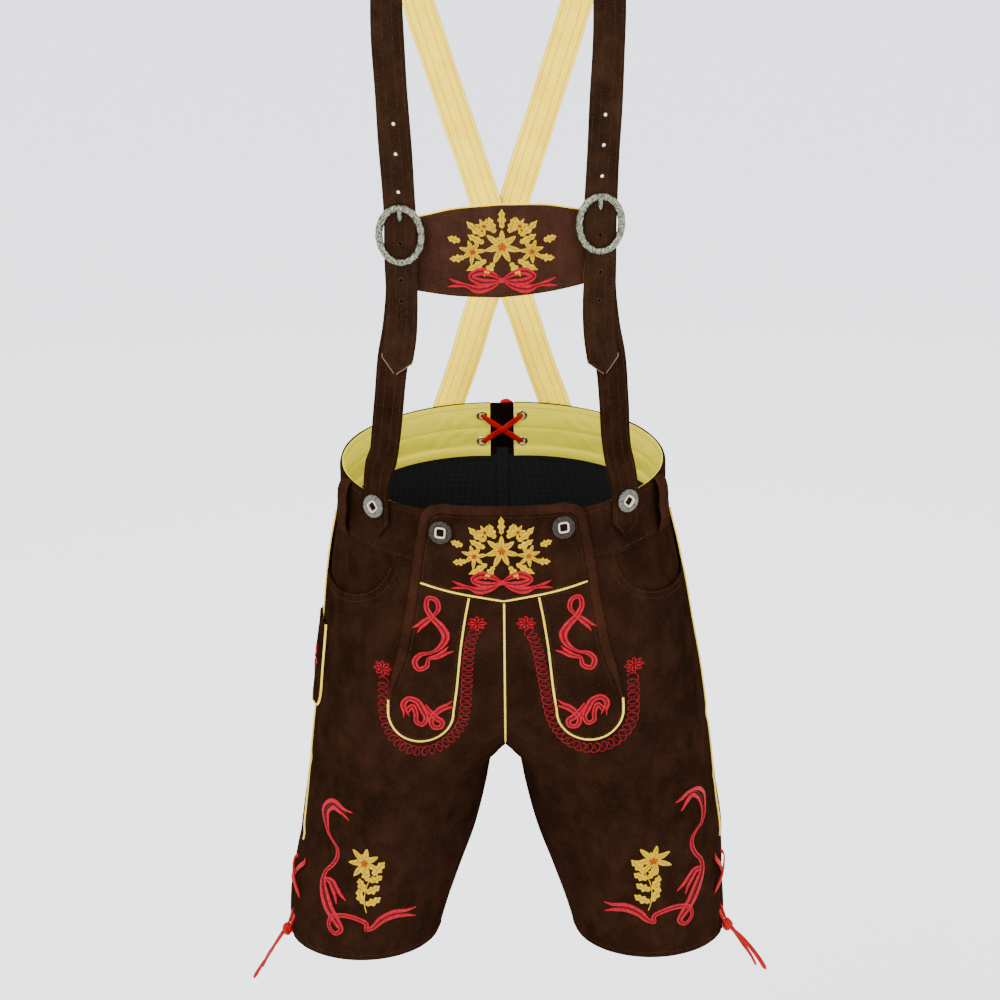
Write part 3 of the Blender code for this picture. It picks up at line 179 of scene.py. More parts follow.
def clouds(tree, where, size_mm, detail=3, low=0.35, high=0.65, stretch=(1, 1, 1)):
    """Soft patches of about size_mm across, from 0 to 1."""
    placed = add_node(tree, "Mapping", {"Vector": where, "Scale": stretch})
    noise = add_node(tree, "TexNoise", {"Vector": placed.outputs[0], "Scale": 1000 / size_mm,
                                        "Detail": detail, "Roughness": 0.6})
    ramp = {"Value": noise.outputs[0], "From Min": low, "From Max": high}
    return add_node(tree, "MapRange", ramp).outputs[0]


floor_mesh.materials.append(new_material("pale_paper", {"Base Color": "#fdfdfd", "Roughness": 0.9})[0])

# %% [markdown]
# ## Suede and lining leather
# Suede is the flesh side of the hide, sanded to a short nap. It reflects almost no highlight;
# the fibres that stand across the light look paler, and where a hand has brushed them the
# other way they look darker, so patches of 20 to 80 mm drift from dark to light. Under a low
# light the nap's own grain, near 1 mm, shows as a soft speckle; it is drawn at 1.7 mm. The
# lining and the piping are smooth split leather: cloudy, with fine pores and a dull gloss.

# %% The suedes and the smooth leathers
def make_suede(name, dark, mid, pale, bloom):
    """Brushed suede: three browns mixed by patches, streaks and speckle, with a napped bump."""
    material, tree, where = new_material(name, {
        "Roughness": 0.92, "Sheen Weight": bloom, "Sheen Roughness": 0.45, "Sheen Tint": pale,
        "Specular IOR Level": 0.0})
    patches = clouds(tree, where, 78, 4, 0.32, 0.68)
    brushed = clouds(tree, where, 21, 5, 0.42, 0.74, (1.0, 1.0, 0.75))
    speckle = clouds(tree, where, 1.7, 2, 0.42, 0.72)
    nap = add_node(tree, "Math", {0: speckle, 1: brushed}, operation="ADD").outputs[0]
    return paint(material, dark, [(patches, 1.0, mid), (brushed, 0.34, pale), (speckle, 0.24, pale)],
                 (nap, 0.6, 0.35))


def make_leather(name, deep, mid, pale, grain_mm, gloss):
    """Smooth split leather: a cloudy tone, and pores of a deeper colour."""
    material, tree, where = new_material(name, {"Roughness": 0.62, "Specular IOR Level": gloss})
    tone = clouds(tree, where, 30, 4, 0.35, 0.7)
    pores = clouds(tree, where, grain_mm, 2, 0.35, 0.75)
    return paint(material, mid, [(tone, 1.0, pale), (pores, 0.22, deep)], (pores, 0.35, 0.2))


LEG_SUEDE = make_suede("brushed_goat_suede", "#110804", "#1d0f09", "#331e11", 0.03)
TRIM_SUEDE = make_suede("brushed_trim_suede", "#1a0d08", "#26130b", "#3c2316", 0.0)
BRACE_SUEDE = make_suede("brushed_strap_suede", "#160c07", "#1f120a", "#3a2618", 0.04)
BAR_SUEDE = make_suede("brushed_bar_suede", "#22130d", "#2d1911", "#462b1f", 0.05)
# pale brown strips along the edges of the braces' pointed ends: a painted highlight
EDGE_HIGHLIGHT = make_suede("painted_edge_highlight", "#4c3a2c", "#6a5444", "#8a7260", 0.0)
SHADED_SUEDE = make_suede("shaded_gusset_suede", "#070403", "#0d0605", "#180e0a", 0.0)
CREAM = make_leather("cream_split_leather", "#dc9c04", "#f8d009", "#ffe61c", 1.4, 0.15)
PIPING = make_leather("piping_leather", "#a8841c", "#d2b030", "#e8cc4e", 1.0, 0.12)
RED_LEATHER = make_leather("dyed_lace_leather", "#5c0001", "#840002", "#9a0503", 1.2, 0.08)
BONE = make_leather("bone_inlay", "#8e8470", "#b0a68e", "#c6bda6", 1.0, 0.1)
SHADOW = make_leather("punched_hole_shadow", "#0c0604", "#160c08", "#22140e", 1.0, 0.0)
print("leathers", LEG_SUEDE.name, TRIM_SUEDE.name, BRACE_SUEDE.name, CREAM.name)

# %% [markdown]
# ## Cloth, thread, horn and metal
# The waistband is faced with khaki cotton twill and the seat is lined with a near-black
# woven check. Embroidery thread is viscose laid side by side, so it shows fine ridges across
# each stroke. Horn buttons are polished and cloudy, and the buckles are cast metal whose
# hollows were blackened and whose tops were rubbed bright.

# %% The other materials
def waves(tree, uv, pitch_mm, direction, **sockets):
    """Bands every pitch_mm along a UV map in metres: a wave's scale is 314.16 / pitch in mm."""
    return add_node(tree, "TexWave", {"Vector": uv, "Scale": 314.16 / pitch_mm, **sockets},
                    bands_direction=direction, wave_type="BANDS").outputs["Fac"]


def make_woven(name, ground, thread, stripe, pitch_mm, check_mm):
    """Woven cloth on its own UV map: a fine weave, and a wide check of a second thread."""
    material, tree, where = new_material(name, {"Roughness": 0.9, "Sheen Weight": 0.03,
                                                "Specular IOR Level": 0.2})
    uv = add_node(tree, "UVMap", uv_map="cloth").outputs[0]
    fine, wide = ([waves(tree, uv, pitch, direction) for direction in "XY"] for pitch in (pitch_mm, check_mm))
    weave = add_node(tree, "Math", dict(enumerate(fine)), operation="MULTIPLY").outputs[0]
    checks = add_node(tree, "Math", dict(enumerate(wide)), operation="MAXIMUM").outputs[0]
    lines = add_node(tree, "MapRange", {"Value": checks, "From Min": 0.86, "From Max": 0.98}).outputs[0]
    worn = clouds(tree, where, 24, 4, 0.3, 0.75)
    return paint(material, ground, [(weave, 1.0, thread), (lines, 0.7, stripe), (worn, 0.3, ground)],
                 (weave, 0.5, 0.25))


def make_thread(name, deep, bright, pitch_mm=1.1, gloss=0.1):
    """Twisted or laid thread: ridges across the stroke every pitch_mm, along the UV map's v."""
    material, tree, where = new_material(name, {"Roughness": 0.6, "Specular IOR Level": gloss})
    uv = add_node(tree, "UVMap", uv_map="cloth").outputs[0]
    ridges = waves(tree, uv, pitch_mm, "Y", Distortion=0.6, Detail=1)
    tone = clouds(tree, where, 3.5, 2, 0.35, 0.7)
    both = add_node(tree, "Math", {0: ridges, 1: tone}, operation="MULTIPLY").outputs[0]
    return paint(material, deep, [(both, 1.0, bright)], (ridges, 0.6, 0.25))


def make_horn(name, dark, pale):
    """Polished horn: cloudy bands, slightly waxy."""
    material, tree, where = new_material(name, {"Roughness": 0.4, "Specular IOR Level": 0.1})
    return paint(material, dark, [(clouds(tree, where, 2.2, 5, 0.38, 0.64, (1, 1, 2.0)), 1.0, pale)])


def make_metal(name, hollow, top, size_mm, roughness):
    """Cast or plated metal: tarnish in soft spots, and fine scratches in the bump."""
    material, tree, where = new_material(name, {"Metallic": 1.0, "Roughness": roughness})
    tarnish = clouds(tree, where, size_mm, 4, 0.36, 0.62)
    rubbed = clouds(tree, where, 0.8, 2, 0.4, 0.7)
    return paint(material, hollow, [(tarnish, 1.0, top)], (rubbed, 0.25, 0.1))


# Weaves are drawn near 1.2 mm, about three times as coarse as the real ones, so that they show.
TWILL = make_woven("cotton_twill", "#c8bb20", "#e8db2a", "#d2c524", 1.2, 60)
CHECK = make_woven("dark_woven_check", "#030404", "#090d0e", "#10181a", 1.3, 7)
RED_THREAD = make_thread("red_viscose_thread", "#80000e", "#b00a28")
DEEP_THREAD = make_thread("deep_red_viscose_thread", "#400408", "#680a12")
FINE_RED = make_thread("fine_red_thread", "#5a0a14", "#981a2a", 1.4, 0.05)
GOLD_THREAD = make_thread("gold_viscose_thread", "#9c7a00", "#cca800")
AMBER_THREAD = make_thread("amber_viscose_thread", "#3c2600", "#5c3c00")
ORANGE_THREAD = make_thread("orange_viscose_thread", "#7c2800", "#b04404")
BROWN_THREAD = make_thread("brown_seam_thread", "#24160e", "#4c3626", 1.4, 0.0)
PALE_THREAD = make_thread("sand_seam_thread", "#84741c", "#a89628", 1.4, 0.0)
HORN = make_horn("polished_horn", "#100c0a", "#3a322c")
PALE_HORN = make_horn("pale_polished_horn", "#2e2c29", "#716c65")
SILVER = make_metal("blackened_cast_silver", "#1e1e18", "#8c8d78", 1.6, 0.38)
NICKEL = make_metal("nickel_plate", "#5a5a58", "#cfcfc8", 2.5, 0.25)
print("cloth, thread, horn and metal", TWILL.name, RED_THREAD.name, HORN.name, SILVER.name)

# %% [markdown]
# ## The trouser surface
# One smooth surface carries every piece of the shorts. At each level the leg is an oval about
# its own centre: round the leg runs an angle, 0 at the outseam, 90 degrees in front and
# negative behind; down the leg runs the height. Above the crotch the inner half of the oval
# is cut off at the centre seam, and the cut moves out until the two legs part. Folds are long
# soft troughs that pull the oval in, each placed where cloth gathers: across the lap, below
# the seat, behind the knee and at the inner thigh. No two are alike.

# %% Sizes of the level sections, and the folds
# height, side, leg_x, leg_y, front, back and inseam of each section, in mm
SECTIONS = MM * np.array([
    (60, 169, 6, 0, 107.5, 108, 0), (24, 166.5, 6, 0, 107.5, 108, 0), (0, 166.5, 12, 0, 108.5, 110, 0),
    (-34, 172, 24, 0, 111, 117, 0), (-67, 179, 40, 1, 114, 125, 0), (-112, 186.5, 60, 3, 117, 133, 0),
    (-157, 192.5, 76, 5, 118, 137, 0), (-200, 199, 88, 7, 117, 136, 0),
    (-248, 205.5, 98, 9, 113, 129, 0), (-292, 211.5, 106, 10, 108, 119, 0),
    (-300, 212.6, 108.2, 10, 107, 117.2, 10), (-310, 213.8, 111, 10, 106, 115, 14.2),
    (-340, 217.5, 118.5, 10, 103, 109, 20), (-388, 224.5, 128, 10, 98, 101, 31.6),
    (-435, 229.6, 138.8, 10, 93, 95, 48), (-483, 234, 149, 10, 88.5, 90, 64),
    (-514, 235, 153.5, 10, 86.5, 87.5, 72.5), (-530, 235.2, 154.5, 10, 86, 87, 76)])
# side, degrees, height, half length, half width, slope and depth of each fold, lengths in mm:
# ten large ones as in the solids, then small ones, where a negative depth is a ridge
FOLDS = [
    (1, 52, -325, 50, 12, 0.55, 3.8), (1, 132, -345, 40, 12, -0.45, 3.4),
    (1, 108, -392, 42, 13, -0.3, 2.6), (1, -60, -318, 55, 13, -0.35, 3.6),
    (1, -125, -352, 45, 13, 0.4, 3.4), (-1, 124, -338, 50, 12, -0.25, 3.6),
    (-1, 98, -386, 40, 13, 0.2, 2.4), (-1, 55, -352, 42, 12, 0.4, 2.8),
    (-1, -72, -326, 55, 13, -0.3, 3.6), (-1, -122, -362, 42, 13, 0.45, 3.2),
    (1, 40, -300, 45, 6.2, 0.7, 2.7), (1, 58, -348, 35, 6.2, 0.6, -1.9),
    (1, 30, -245, 50, 7.9, 0.5, 2.3), (1, 96, -345, 30, 7, -0.5, 2.3),
    (1, 140, -322, 30, 6.2, -0.7, 3), (1, 144, -372, 30, 7, -0.4, 2.7),
    (1, 118, -425, 34, 7.9, -0.25, 1.9), (1, 22, -405, 36, 7.9, 0.25, 1.8),
    (1, 74, -452, 40, 8.8, 0.15, -1.5), (1, 46, -190, 40, 8.8, 0.55, 1.6),
    (1, -35, -285, 45, 7, -0.55, 2.7), (1, -92, -300, 45, 7.9, 0.1, 3),
    (1, -85, -345, 45, 7.9, -0.15, 2.5), (1, -140, -318, 30, 7, 0.6, 3.3),
    (1, -70, -405, 45, 9.7, -0.2, 1.9), (1, -118, -420, 35, 8.8, 0.25, 1.9),
    (-1, 136, -312, 32, 6.2, -0.6, 3), (-1, 112, -362, 34, 6.2, -0.2, -1.9),
    (-1, 34, -285, 48, 7, 0.6, 2.4), (-1, 62, -318, 36, 7, 0.5, 2.1),
    (-1, 142, -368, 30, 7, -0.45, 2.7), (-1, 84, -425, 40, 7.9, 0.15, 1.8),
    (-1, 20, -392, 36, 8.8, 0.3, 1.9), (-1, 48, -215, 45, 8.8, 0.45, 1.8),
    (-1, 120, -440, 34, 7.9, -0.2, -1.5), (-1, 70, -470, 40, 8.8, 0.1, 1.4),
    (-1, -40, -295, 45, 7, -0.5, 2.7), (-1, -96, -306, 45, 7.9, 0.15, 3),
    (-1, -88, -352, 45, 7.9, -0.1, 2.5), (-1, -138, -322, 30, 7, 0.55, 3.2),
    (-1, -66, -412, 45, 9.7, -0.2, 1.9), (-1, -116, -428, 35, 8.8, 0.25, 1.8)]
print(len(SECTIONS), "sections,", len(FOLDS), "folds")

# %% Small pieces of arithmetic
def arrays(*values):
    """The values as float arrays of one shape."""
    return np.broadcast_arrays(*(np.asarray(value, float) for value in values))


def unit(vectors):
    """Vectors divided by their lengths."""
    return vectors / np.linalg.norm(vectors, axis=-1, keepdims=True)


def smooth_step(value, start, end):
    """0 before start, 1 after end, and 3t^2 - 2t^3 between."""
    t = np.clip((np.asarray(value, float) - start) / (end - start), 0, 1)
    return t * t * (3 - 2 * t)


def hump(value, middle, reach):
    """exp(-((value - middle) / reach)^2): 1 at the middle, fading to both sides."""
    return np.exp(-((value - middle) / reach) ** 2)


def arc_length(points):
    """The distance along rows of points, from 0 at the first."""
    steps = np.linalg.norm(np.diff(points, axis=-2), axis=-1)
    return np.concatenate([np.zeros(steps.shape[:-1] + (1,)), np.cumsum(steps, axis=-1)], axis=-1)


def read_cubic(x, y, tangent, at):
    """The cubic through y at x with the tangents given there, read at the places asked for."""
    i = np.clip(np.searchsorted(x, at) - 1, 0, len(x) - 2)
    step = x[i + 1] - x[i]
    t = (at - x[i]) / step
    near, far = (1 - t) ** 2, t * t
    return (((1 + 2 * t) * near * y[..., i] + t * near * step * tangent[..., i])
            + far * (3 - 2 * t) * y[..., i + 1] + far * (t - 1) * step * tangent[..., i + 1])


def smooth_columns(table, at):
    """Read a table's columns at places in its first one, without overshoot: each row's tangent
    is the harmonic mean of the slopes beside it, or 0 where they change sign."""
    x, *y = table[np.argsort(table[:, 0])].T
    y, step = np.array(y), np.diff(x)
    slope = np.diff(y) / step
    weight_a, weight_b = 2 * step[1:] + step[:-1], step[1:] + 2 * step[:-1]
    same = slope[:, :-1] * slope[:, 1:] > 0
    left, right = np.where(same, slope[:, :-1], 1.0), np.where(same, slope[:, 1:], 1.0)
    mean = np.where(same, (weight_a + weight_b) / (weight_a / left + weight_b / right), 0)
    tangent = np.concatenate([slope[:, :1], mean, slope[:, -1:]], axis=1)
    return read_cubic(x, y, tangent, np.clip(np.asarray(at, float), x[0], x[-1]))


# %% The surface as a function of angle and height
def section(height):
    """The oval's sizes at a height, how far the legs have parted, and the inner half's reach."""
    side, leg_x, leg_y, front, back, inseam = smooth_columns(SECTIONS, height)
    split = np.clip((SPLIT_TOP - height) / (SPLIT_TOP - CROTCH), 0.02, 1)
    reach = np.where(height > CROTCH, leg_x / split, leg_x - inseam)
    return side, leg_x, leg_y, front, back, split, reach


def fold_depth(side, angle, height):
    """Sum over the folds of depth * exp(-(along / half length)^2 - (across / half width)^2)."""
    depth = np.zeros(np.broadcast(side, angle, height).shape)
    for fold_side, degrees, level, half_length, half_width, slope, deep in FOLDS:
        along = (angle - math.radians(degrees)) * FOLD_ARC
        across = height - level * MM - slope * along - FOLD_BEND * along ** 2
        mark = hump(along, 0, half_length * MM) * hump(across, 0, half_width * MM)
        depth += deep * MM * mark * (side == fold_side)
    return depth


def outseam(height):
    """The angle where the outseam lies: it turns towards the front on its way down."""
    return math.radians(17) * smooth_step(-np.asarray(height, float), -POCKET_LOW, 0.46)


def surface(side, angle, height):
    """x = centre + half width * cos(angle), y = centre - half depth * sin(angle), and z = the
    height, tilted up behind at the waist. Both outer sides hang 6 mm to the left."""
    side, angle, height = arrays(side, angle, height)
    side_x, leg_x, leg_y, front, back, _, reach = section(height)
    cos, sin = np.cos(angle), np.sin(angle)
    shrink = 1 - fold_depth(side, angle, height) / LEG_RADIUS
    x = leg_x + np.where(cos > 0, (side_x - leg_x) * shrink, reach) * cos
    y = leg_y - np.where(sin > 0, front, back) * sin * shrink
    tilt = WAIST_TILT * (1 - smooth_step(-height, 0.034, 0.2))
    hang = smooth_step(-height, 0.02, 0.25) * (1 - smooth_step(-height, 0.38, 0.47))
    sway = 6 * MM * hang * smooth_step(x, 0.1, 0.19)
    return np.stack([side * (x + SEAM_GAP / 2) + sway, y, WAIST_Z + height + tilt * y], -1)


def outward(side, angle, height):
    """The unit normal: the cross product of the steps up and round the surface."""
    tiny = 2e-4
    round_leg = surface(side, angle + tiny, height) - surface(side, angle - tiny, height)
    up_leg = surface(side, angle, height + tiny) - surface(side, angle, height - tiny)
    return unit(np.cross(up_leg, round_leg) * np.asarray(side, float)[..., None])


def on_leg(side, angle, height, distance=0.0):
    """Points moved out from the surface along its normal, and the normals there."""
    side, angle, height, distance = arrays(side, angle, height, distance)
    normal = outward(side, angle, height)
    return surface(side, angle, height) + normal * distance[..., None], normal


def two_faces(side, angle, height, *distances):
    """The outer and the inner face of a piece: the surface moved by two distances."""
    return [on_leg(side, angle, height, distance)[0] for distance in distances]


def angle_at_x(x, height):
    """The angle in front where the surface lies at a distance x from the middle."""
    side_x, leg_x, _, _, _, _, reach = section(height)
    x = np.abs(x) - SEAM_GAP / 2 - leg_x
    return np.arccos(np.clip(x / np.where(x > 0, side_x - leg_x, reach), -1, 1))


def on_front(x, height, distance=0.0, back=False):
    """Points on the front (or the back) at x and height, and the normals there."""
    x, height = arrays(x, height)
    angle = angle_at_x(x, height) * (-1 if back else 1)
    return on_leg(np.where(x < 0, -1.0, 1.0), angle, height, distance)


def angle_limit(height):
    """The angle at the centre seam, or at the inseam below the crotch."""
    return np.pi / 2 + np.arcsin(section(height)[5])


def angles_across(height, share, back, first, last):
    """Angles at shares of the arc length between first and last, for all rows at once: the arc
    is measured on a fine grid, each row's lengths are shifted past the row before, and one
    interpolation reads them all back."""
    height, first, last = (np.reshape(value, (-1, 1)) for value in (height, first, last))
    t = np.linspace(0, 1, 241)
    fine = np.where(t < 0.5, -0.35 + (np.pi + 0.7) * t, np.arccos(-section(height)[5] * np.abs(2 * t - 1)))
    fine = np.clip(fine, first, last)
    length = arc_length(surface(1.0, -fine if back else fine, height))
    length += np.arange(len(t)) * 1e-9    # np.interp wants lengths that always grow
    shift = np.arange(len(height))[:, None] * 10.0
    wanted = share * length[:, -1:] + shift
    angles = np.interp(wanted.ravel(), (length + shift).ravel(), fine.ravel()).reshape(wanted.shape)
    return -angles if back else angles


# %% [markdown]
# ## From arrays to meshes
# Three builders make nearly everything. *wall* joins an outer and an inner grid of points
# round their border, which is how a cut piece of leather looks. *carried* joins rings of a
# profile along a line: straps, pipings, laces. *lay_strokes*, further down, is the same for
# hundreds of short strokes of thread at once, each a low arch whose width swells and tapers.
# Each mesh gets a UV map in metres, so that weave and thread follow the piece, not the room.

# %% Meshes, and what is said of a finished piece
def add_mesh(name, points, quads, uv, material, sharp=45):
    """Put whole arrays of points, four-sided faces and UVs into a new object."""
    points, quads = np.asarray(points, np.float32).reshape(-1, 3), np.asarray(quads, np.int32)
    mesh = bpy.data.meshes.new(name)
    mesh.vertices.add(len(points))
    mesh.vertices.foreach_set("co", points.ravel())
    mesh.loops.add(quads.size)
    mesh.loops.foreach_set("vertex_index", quads.ravel())
    mesh.polygons.add(len(quads))
    mesh.polygons.foreach_set("loop_start", np.arange(0, quads.size, 4, dtype=np.int32))
    mesh.update(calc_edges=True)
    layer = mesh.uv_layers.new(name="cloth")
    layer.data.foreach_set("uv", np.asarray(uv, np.float32).reshape(-1, 2)[quads.ravel()].ravel())
    mesh.shade_smooth()
    mesh.set_sharp_from_angle(angle=math.radians(sharp))
    mesh.materials.append(material)
    return add_object(name, mesh)


def dress(item, slot, *nodes):
    """Let a piece move with the garment and hide the solids it stands for; the slot is not used."""
    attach(item, "root")
    if nodes:
        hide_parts(*nodes)
    print(f"{item.name}: {len(item.data.polygons)} faces")
    return item


# %% Walls: two grids joined round the border
def grid_quads(rows, cols):
    """The faces of a grid of points, row by row."""
    index = np.arange(rows * cols).reshape(rows, cols)
    return np.stack([index[:-1, :-1], index[:-1, 1:], index[1:, 1:], index[1:, :-1]], -1).reshape(-1, 4)


def grid_uv(grid):
    """Arc length across and down a grid, in metres, measured from its middle column."""
    middle = grid.shape[1] // 2
    across, down = arc_length(grid), arc_length(grid[:, middle])[:, None]
    return np.stack([across - across[:, middle:middle + 1], np.broadcast_to(down, across.shape)], -1)


def wall(name, outer, inner, material):
    """An outer and an inner grid joined round the border. Faces point out of the leather."""
    rows, cols = outer.shape[:2]
    count = rows * cols
    index = np.arange(count).reshape(rows, cols)
    quads = grid_quads(rows, cols)
    border = np.concatenate([index[0, :-1], index[:-1, -1], index[-1, :0:-1], index[:0:-1, 0]])
    after = np.roll(border, -1)
    edge = np.stack([after, border, border + count, after + count], -1)
    faces = np.concatenate([quads, quads[:, ::-1] + count, edge])
    i, j = rows // 2, cols // 2
    facing = np.cross(outer[i, j + 1] - outer[i, j], outer[i + 1, j] - outer[i, j])
    if np.dot(facing, outer[i, j] - inner[i, j]) < 0:
        faces = faces[:, ::-1]
    uv = grid_uv(outer).reshape(-1, 2)
    points = np.concatenate([outer.reshape(-1, 3), inner.reshape(-1, 3)])
    return add_mesh(name, points, faces, np.concatenate([uv, uv]), material)


def cut_piece(name, outer, inner, material, slot, *nodes, held="hung", rests_on=(), plain=None):
    """A wall that is one cut piece of leather or cloth. The widest and the longest line of its
    outer grid (or of the plain grid without relief) are measured and not used further."""
    item = dress(wall(name, outer, inner, material), slot, *nodes)
    grid = outer if plain is None else plain
    width, length = (float(arc_length(lines)[:, -1].max()) for lines in (grid, grid.transpose(1, 0, 2)))


def suede_piece(node, outer, inner, **sheet):
    """A cut piece of the trousers' suede, named after its solid."""
    cut_piece("suede_" + node, outer, inner, LEG_SUEDE, "suede", node, **sheet)


# %% Profiles carried along a line
def smooth_line(points, count):
    """Points at even steps along a smooth curve through the given ones (cubic, chord length)."""
    points = np.asarray(points, float)
    far = arc_length(points)
    fine = np.linspace(0, far[-1], 40 * len(points))
    curve = read_cubic(far, points.T, np.gradient(points, far, axis=0).T, fine)
    length = arc_length(curve.T)
    even = np.linspace(0, length[-1], count)
    return np.stack([np.interp(even, length, column) for column in curve], -1)


def strip_rings(centre, normal, profile, widths):
    """Rings of a profile of (share of width across, metres out) pairs along a line."""
    across = unit(np.cross(unit(np.gradient(centre, axis=0)), normal))
    up = np.cross(across, unit(np.gradient(centre, axis=0)))
    share, out = np.transpose(profile)
    widths = np.broadcast_to(np.asarray(widths, float), (len(centre),))
    return (centre[:, None] + across[:, None] * (share * widths[:, None])[..., None]
            + up[:, None] * out[None, :, None])


def ring_faces(count, size, closed=False):
    """Faces between rings, and four-sided caps across an even ring's ends."""
    index = np.arange(count * size).reshape(count, size)
    rows = np.concatenate([index, index[:1]]) if closed else index
    a, b = rows[:-1], rows[1:]
    sides = np.stack([a, np.roll(a, -1, 1), np.roll(b, -1, 1), b], -1).reshape(-1, 4)
    if closed:
        return sides
    j = np.arange(size // 2 - 1)
    caps = [np.stack([end[j], end[j + 1], end[size - 2 - j], end[size - 1 - j]], -1)
            for end in (index[0][::-1], index[-1])]
    return np.concatenate([sides] + caps)


def carried(name, rings, material, slot, *nodes, closed=False, sharp=45):
    """One dressed body from rings of points, capped at its ends or joined into a ring."""
    faces = ring_faces(*rings.shape[:2], closed)
    ring, after = rings[len(rings) // 2], rings[(len(rings) // 2 + 1) % len(rings)]
    span = np.cross(np.roll(ring, -1, 0) - ring, after - ring)
    if np.sum(span * (ring - ring.mean(axis=0))) < 0:
        faces = faces[:, ::-1]
    across = np.linalg.norm(rings - rings[:, :1], axis=-1)
    along = np.broadcast_to(arc_length(rings.mean(axis=1))[:, None], across.shape)
    return dress(add_mesh(name, rings, faces, np.stack([across, along], -1), material, sharp), slot, *nodes)


def rounded_profile(low, high, soft=0.18, corners=3):
    """A flat strip's profile with rounded upper edges: half a width each side, low to high."""
    turn = np.linspace(0, np.pi / 2, corners + 1)
    right = [(0.5 - soft / 2 * (1 - math.cos(a)), low + (high - low) * (0.25 + 0.75 * math.sin(a)))
             for a in turn]
    return [(0.48, low)] + right + [(-x, y) for x, y in right[::-1]] + [(-0.48, low)]


def domed_profile(low, height, steps=8):
    """A low arch of an even number of points: cos across, a flattened sine up."""
    arch = [(math.cos(a) / 2, low + height * math.sin(a) ** 0.75) for a in np.linspace(0, np.pi, steps)]
    return [(0.42, low - 0.0002)] + arch + [(-0.42, low - 0.0002)]

# %% [markdown]
# ## The loose ends of the laces
# Each slit at the hem and the notch at the back is drawn together by a flat red leather lace,
# tied once. Its two ends hang free, so they are cords with a fixed length: they leave the
# knot, fall under their own weight and stand a little away from the leg because the thong is
# stiff. A flat thong also turns as it falls, so the profile is turned about the line.

# %% Free lace ends
LACE_WIDTH, LACE_THICK = 5.2 * MM, 1.4 * MM
HEM_ENDS = {    # stops below the knot, outwards, back and up in mm
    "L1": [(0, -1, 0), (9, -4, -7), (20, -7, -19), (30, -8.5, -33), (37.5, -9, -46)],
    "L2": [(-0.5, 4.2, 0), (6.6, 5.2, -10.5), (15, 5, -24), (22.5, 7, -37), (28.5, 8, -50)],
    "R1": [(0, -1, 0), (7.5, -4, -9.5), (16.5, -7, -23), (25.5, -8.5, -37), (33, -9, -50)],
    "R2": [(-0.5, 4.2, 0), (5.6, 5.2, -10), (13, 5, -22), (19.5, 7, -34), (24.5, 8, -46)]}
BACK_ENDS = {
    "L": [(5.8, 2.2, -4), (8.5, 5.2, -11), (11, 7.8, -23), (13.5, 10.2, -40), (14, 12.8, -58),
          (15, 15.6, -78)],
    "R": [(-5.8, 2.2, -4), (-8, 5.2, -11), (-9.5, 7.8, -23), (-10.5, 10.2, -38), (-12, 12.4, -54),
          (-12, 14.8, -70)]}
EYELETS = [(x, level) for x in (0.0215, -0.0215) for level in (0.0105, -0.021)]
HEM_KNOT = {tag: on_leg(side, outseam(TIE), TIE - 3 * MM, 5.8 * MM)[0] for side, tag in SIDES}
BACK_KNOT = on_front(0.0045, EYELETS[0][1] + 0.009, BAND_PROUD + 0.0048, back=True)[0]


def free_end(node, points, first_turn, last_turn):
    """A flat thong along a smooth line; its flat side turns by degrees as it falls."""
    line = smooth_line(points, 26)
    along = unit(np.gradient(line, axis=0))
    level = unit(np.cross(along, [0.0, 0.0, 1.0]))
    turn = np.radians(np.linspace(first_turn, last_turn, 26))[:, None]
    facing = level * np.cos(turn) + np.cross(level, along) * np.sin(turn)
    widths = LACE_WIDTH * np.linspace(0.86, 1.0, 26) * np.clip(np.arange(26)[::-1] / 2.0 + 0.35, 0, 1)
    profile = rounded_profile(-LACE_THICK / 2, LACE_THICK / 2, 0.3)
    rings = strip_rings(line, facing, profile, widths)
    piece = carried("thong_" + node, rings, RED_LEATHER, "red_lace", node)


for end, stops in HEM_ENDS.items():
    side = 1 if end[0] == "L" else -1
    route = HEM_KNOT[end[0]] + MM * (np.array([4.6, 0, -4.3]) + stops) * [side, 1, 1]
    free_end("hem_lace_end_" + end, route, *((70, 30) if end[1] == "1" else (20, 75)))
for tag, stops in BACK_ENDS.items():
    free_end("back_lace_end_" + tag, BACK_KNOT + MM * np.array(stops), 0, 35)

# %% [markdown]
# ## Legs
# Each leg is cut in two panels, front and back, joined by the piped outseam, the inseam and
# the centre seam. The front panel's upper corner is cut away in a scoop, the mouth of the
# slanted pocket. A grid of shares of the arc length keeps the faces even where the panel is
# wide at the seat and where it narrows to the crotch. Close to each cut edge the leather is
# a little thicker, because it is turned under and stitched.

# %% Leg panels
def leg_rows(back, rows=150):
    """Levels of the rows, closer together where the pocket's mouth and the crotch curve."""
    turns = [0] + ([45] if back else [22, 42, 58, 70, 79, 86, 90])
    upper = BAND_SEAM - SEAM_GAP - (BAND_SEAM - POCKET_LOW) * np.sin(np.radians(turns))
    curve = SPLIT_TOP - (SPLIT_TOP - CROTCH) * np.sin(np.radians([20, 40, 58, 75, 90]))
    lower = [-0.2955, -0.306, -0.324, -0.343, -0.364, -0.385, SLIT_TOP, -0.432, -0.47, HEM]
    knots = np.concatenate([upper, [-0.125, -0.158, SPLIT_TOP], curve, lower])
    fine = np.interp(np.linspace(0, len(knots) - 1, rows), np.arange(len(knots)), knots)
    even = np.linspace(knots[0], knots[-1], rows)
    return np.sort(np.concatenate([knots, 0.5 * fine + 0.5 * even]))[::-1]


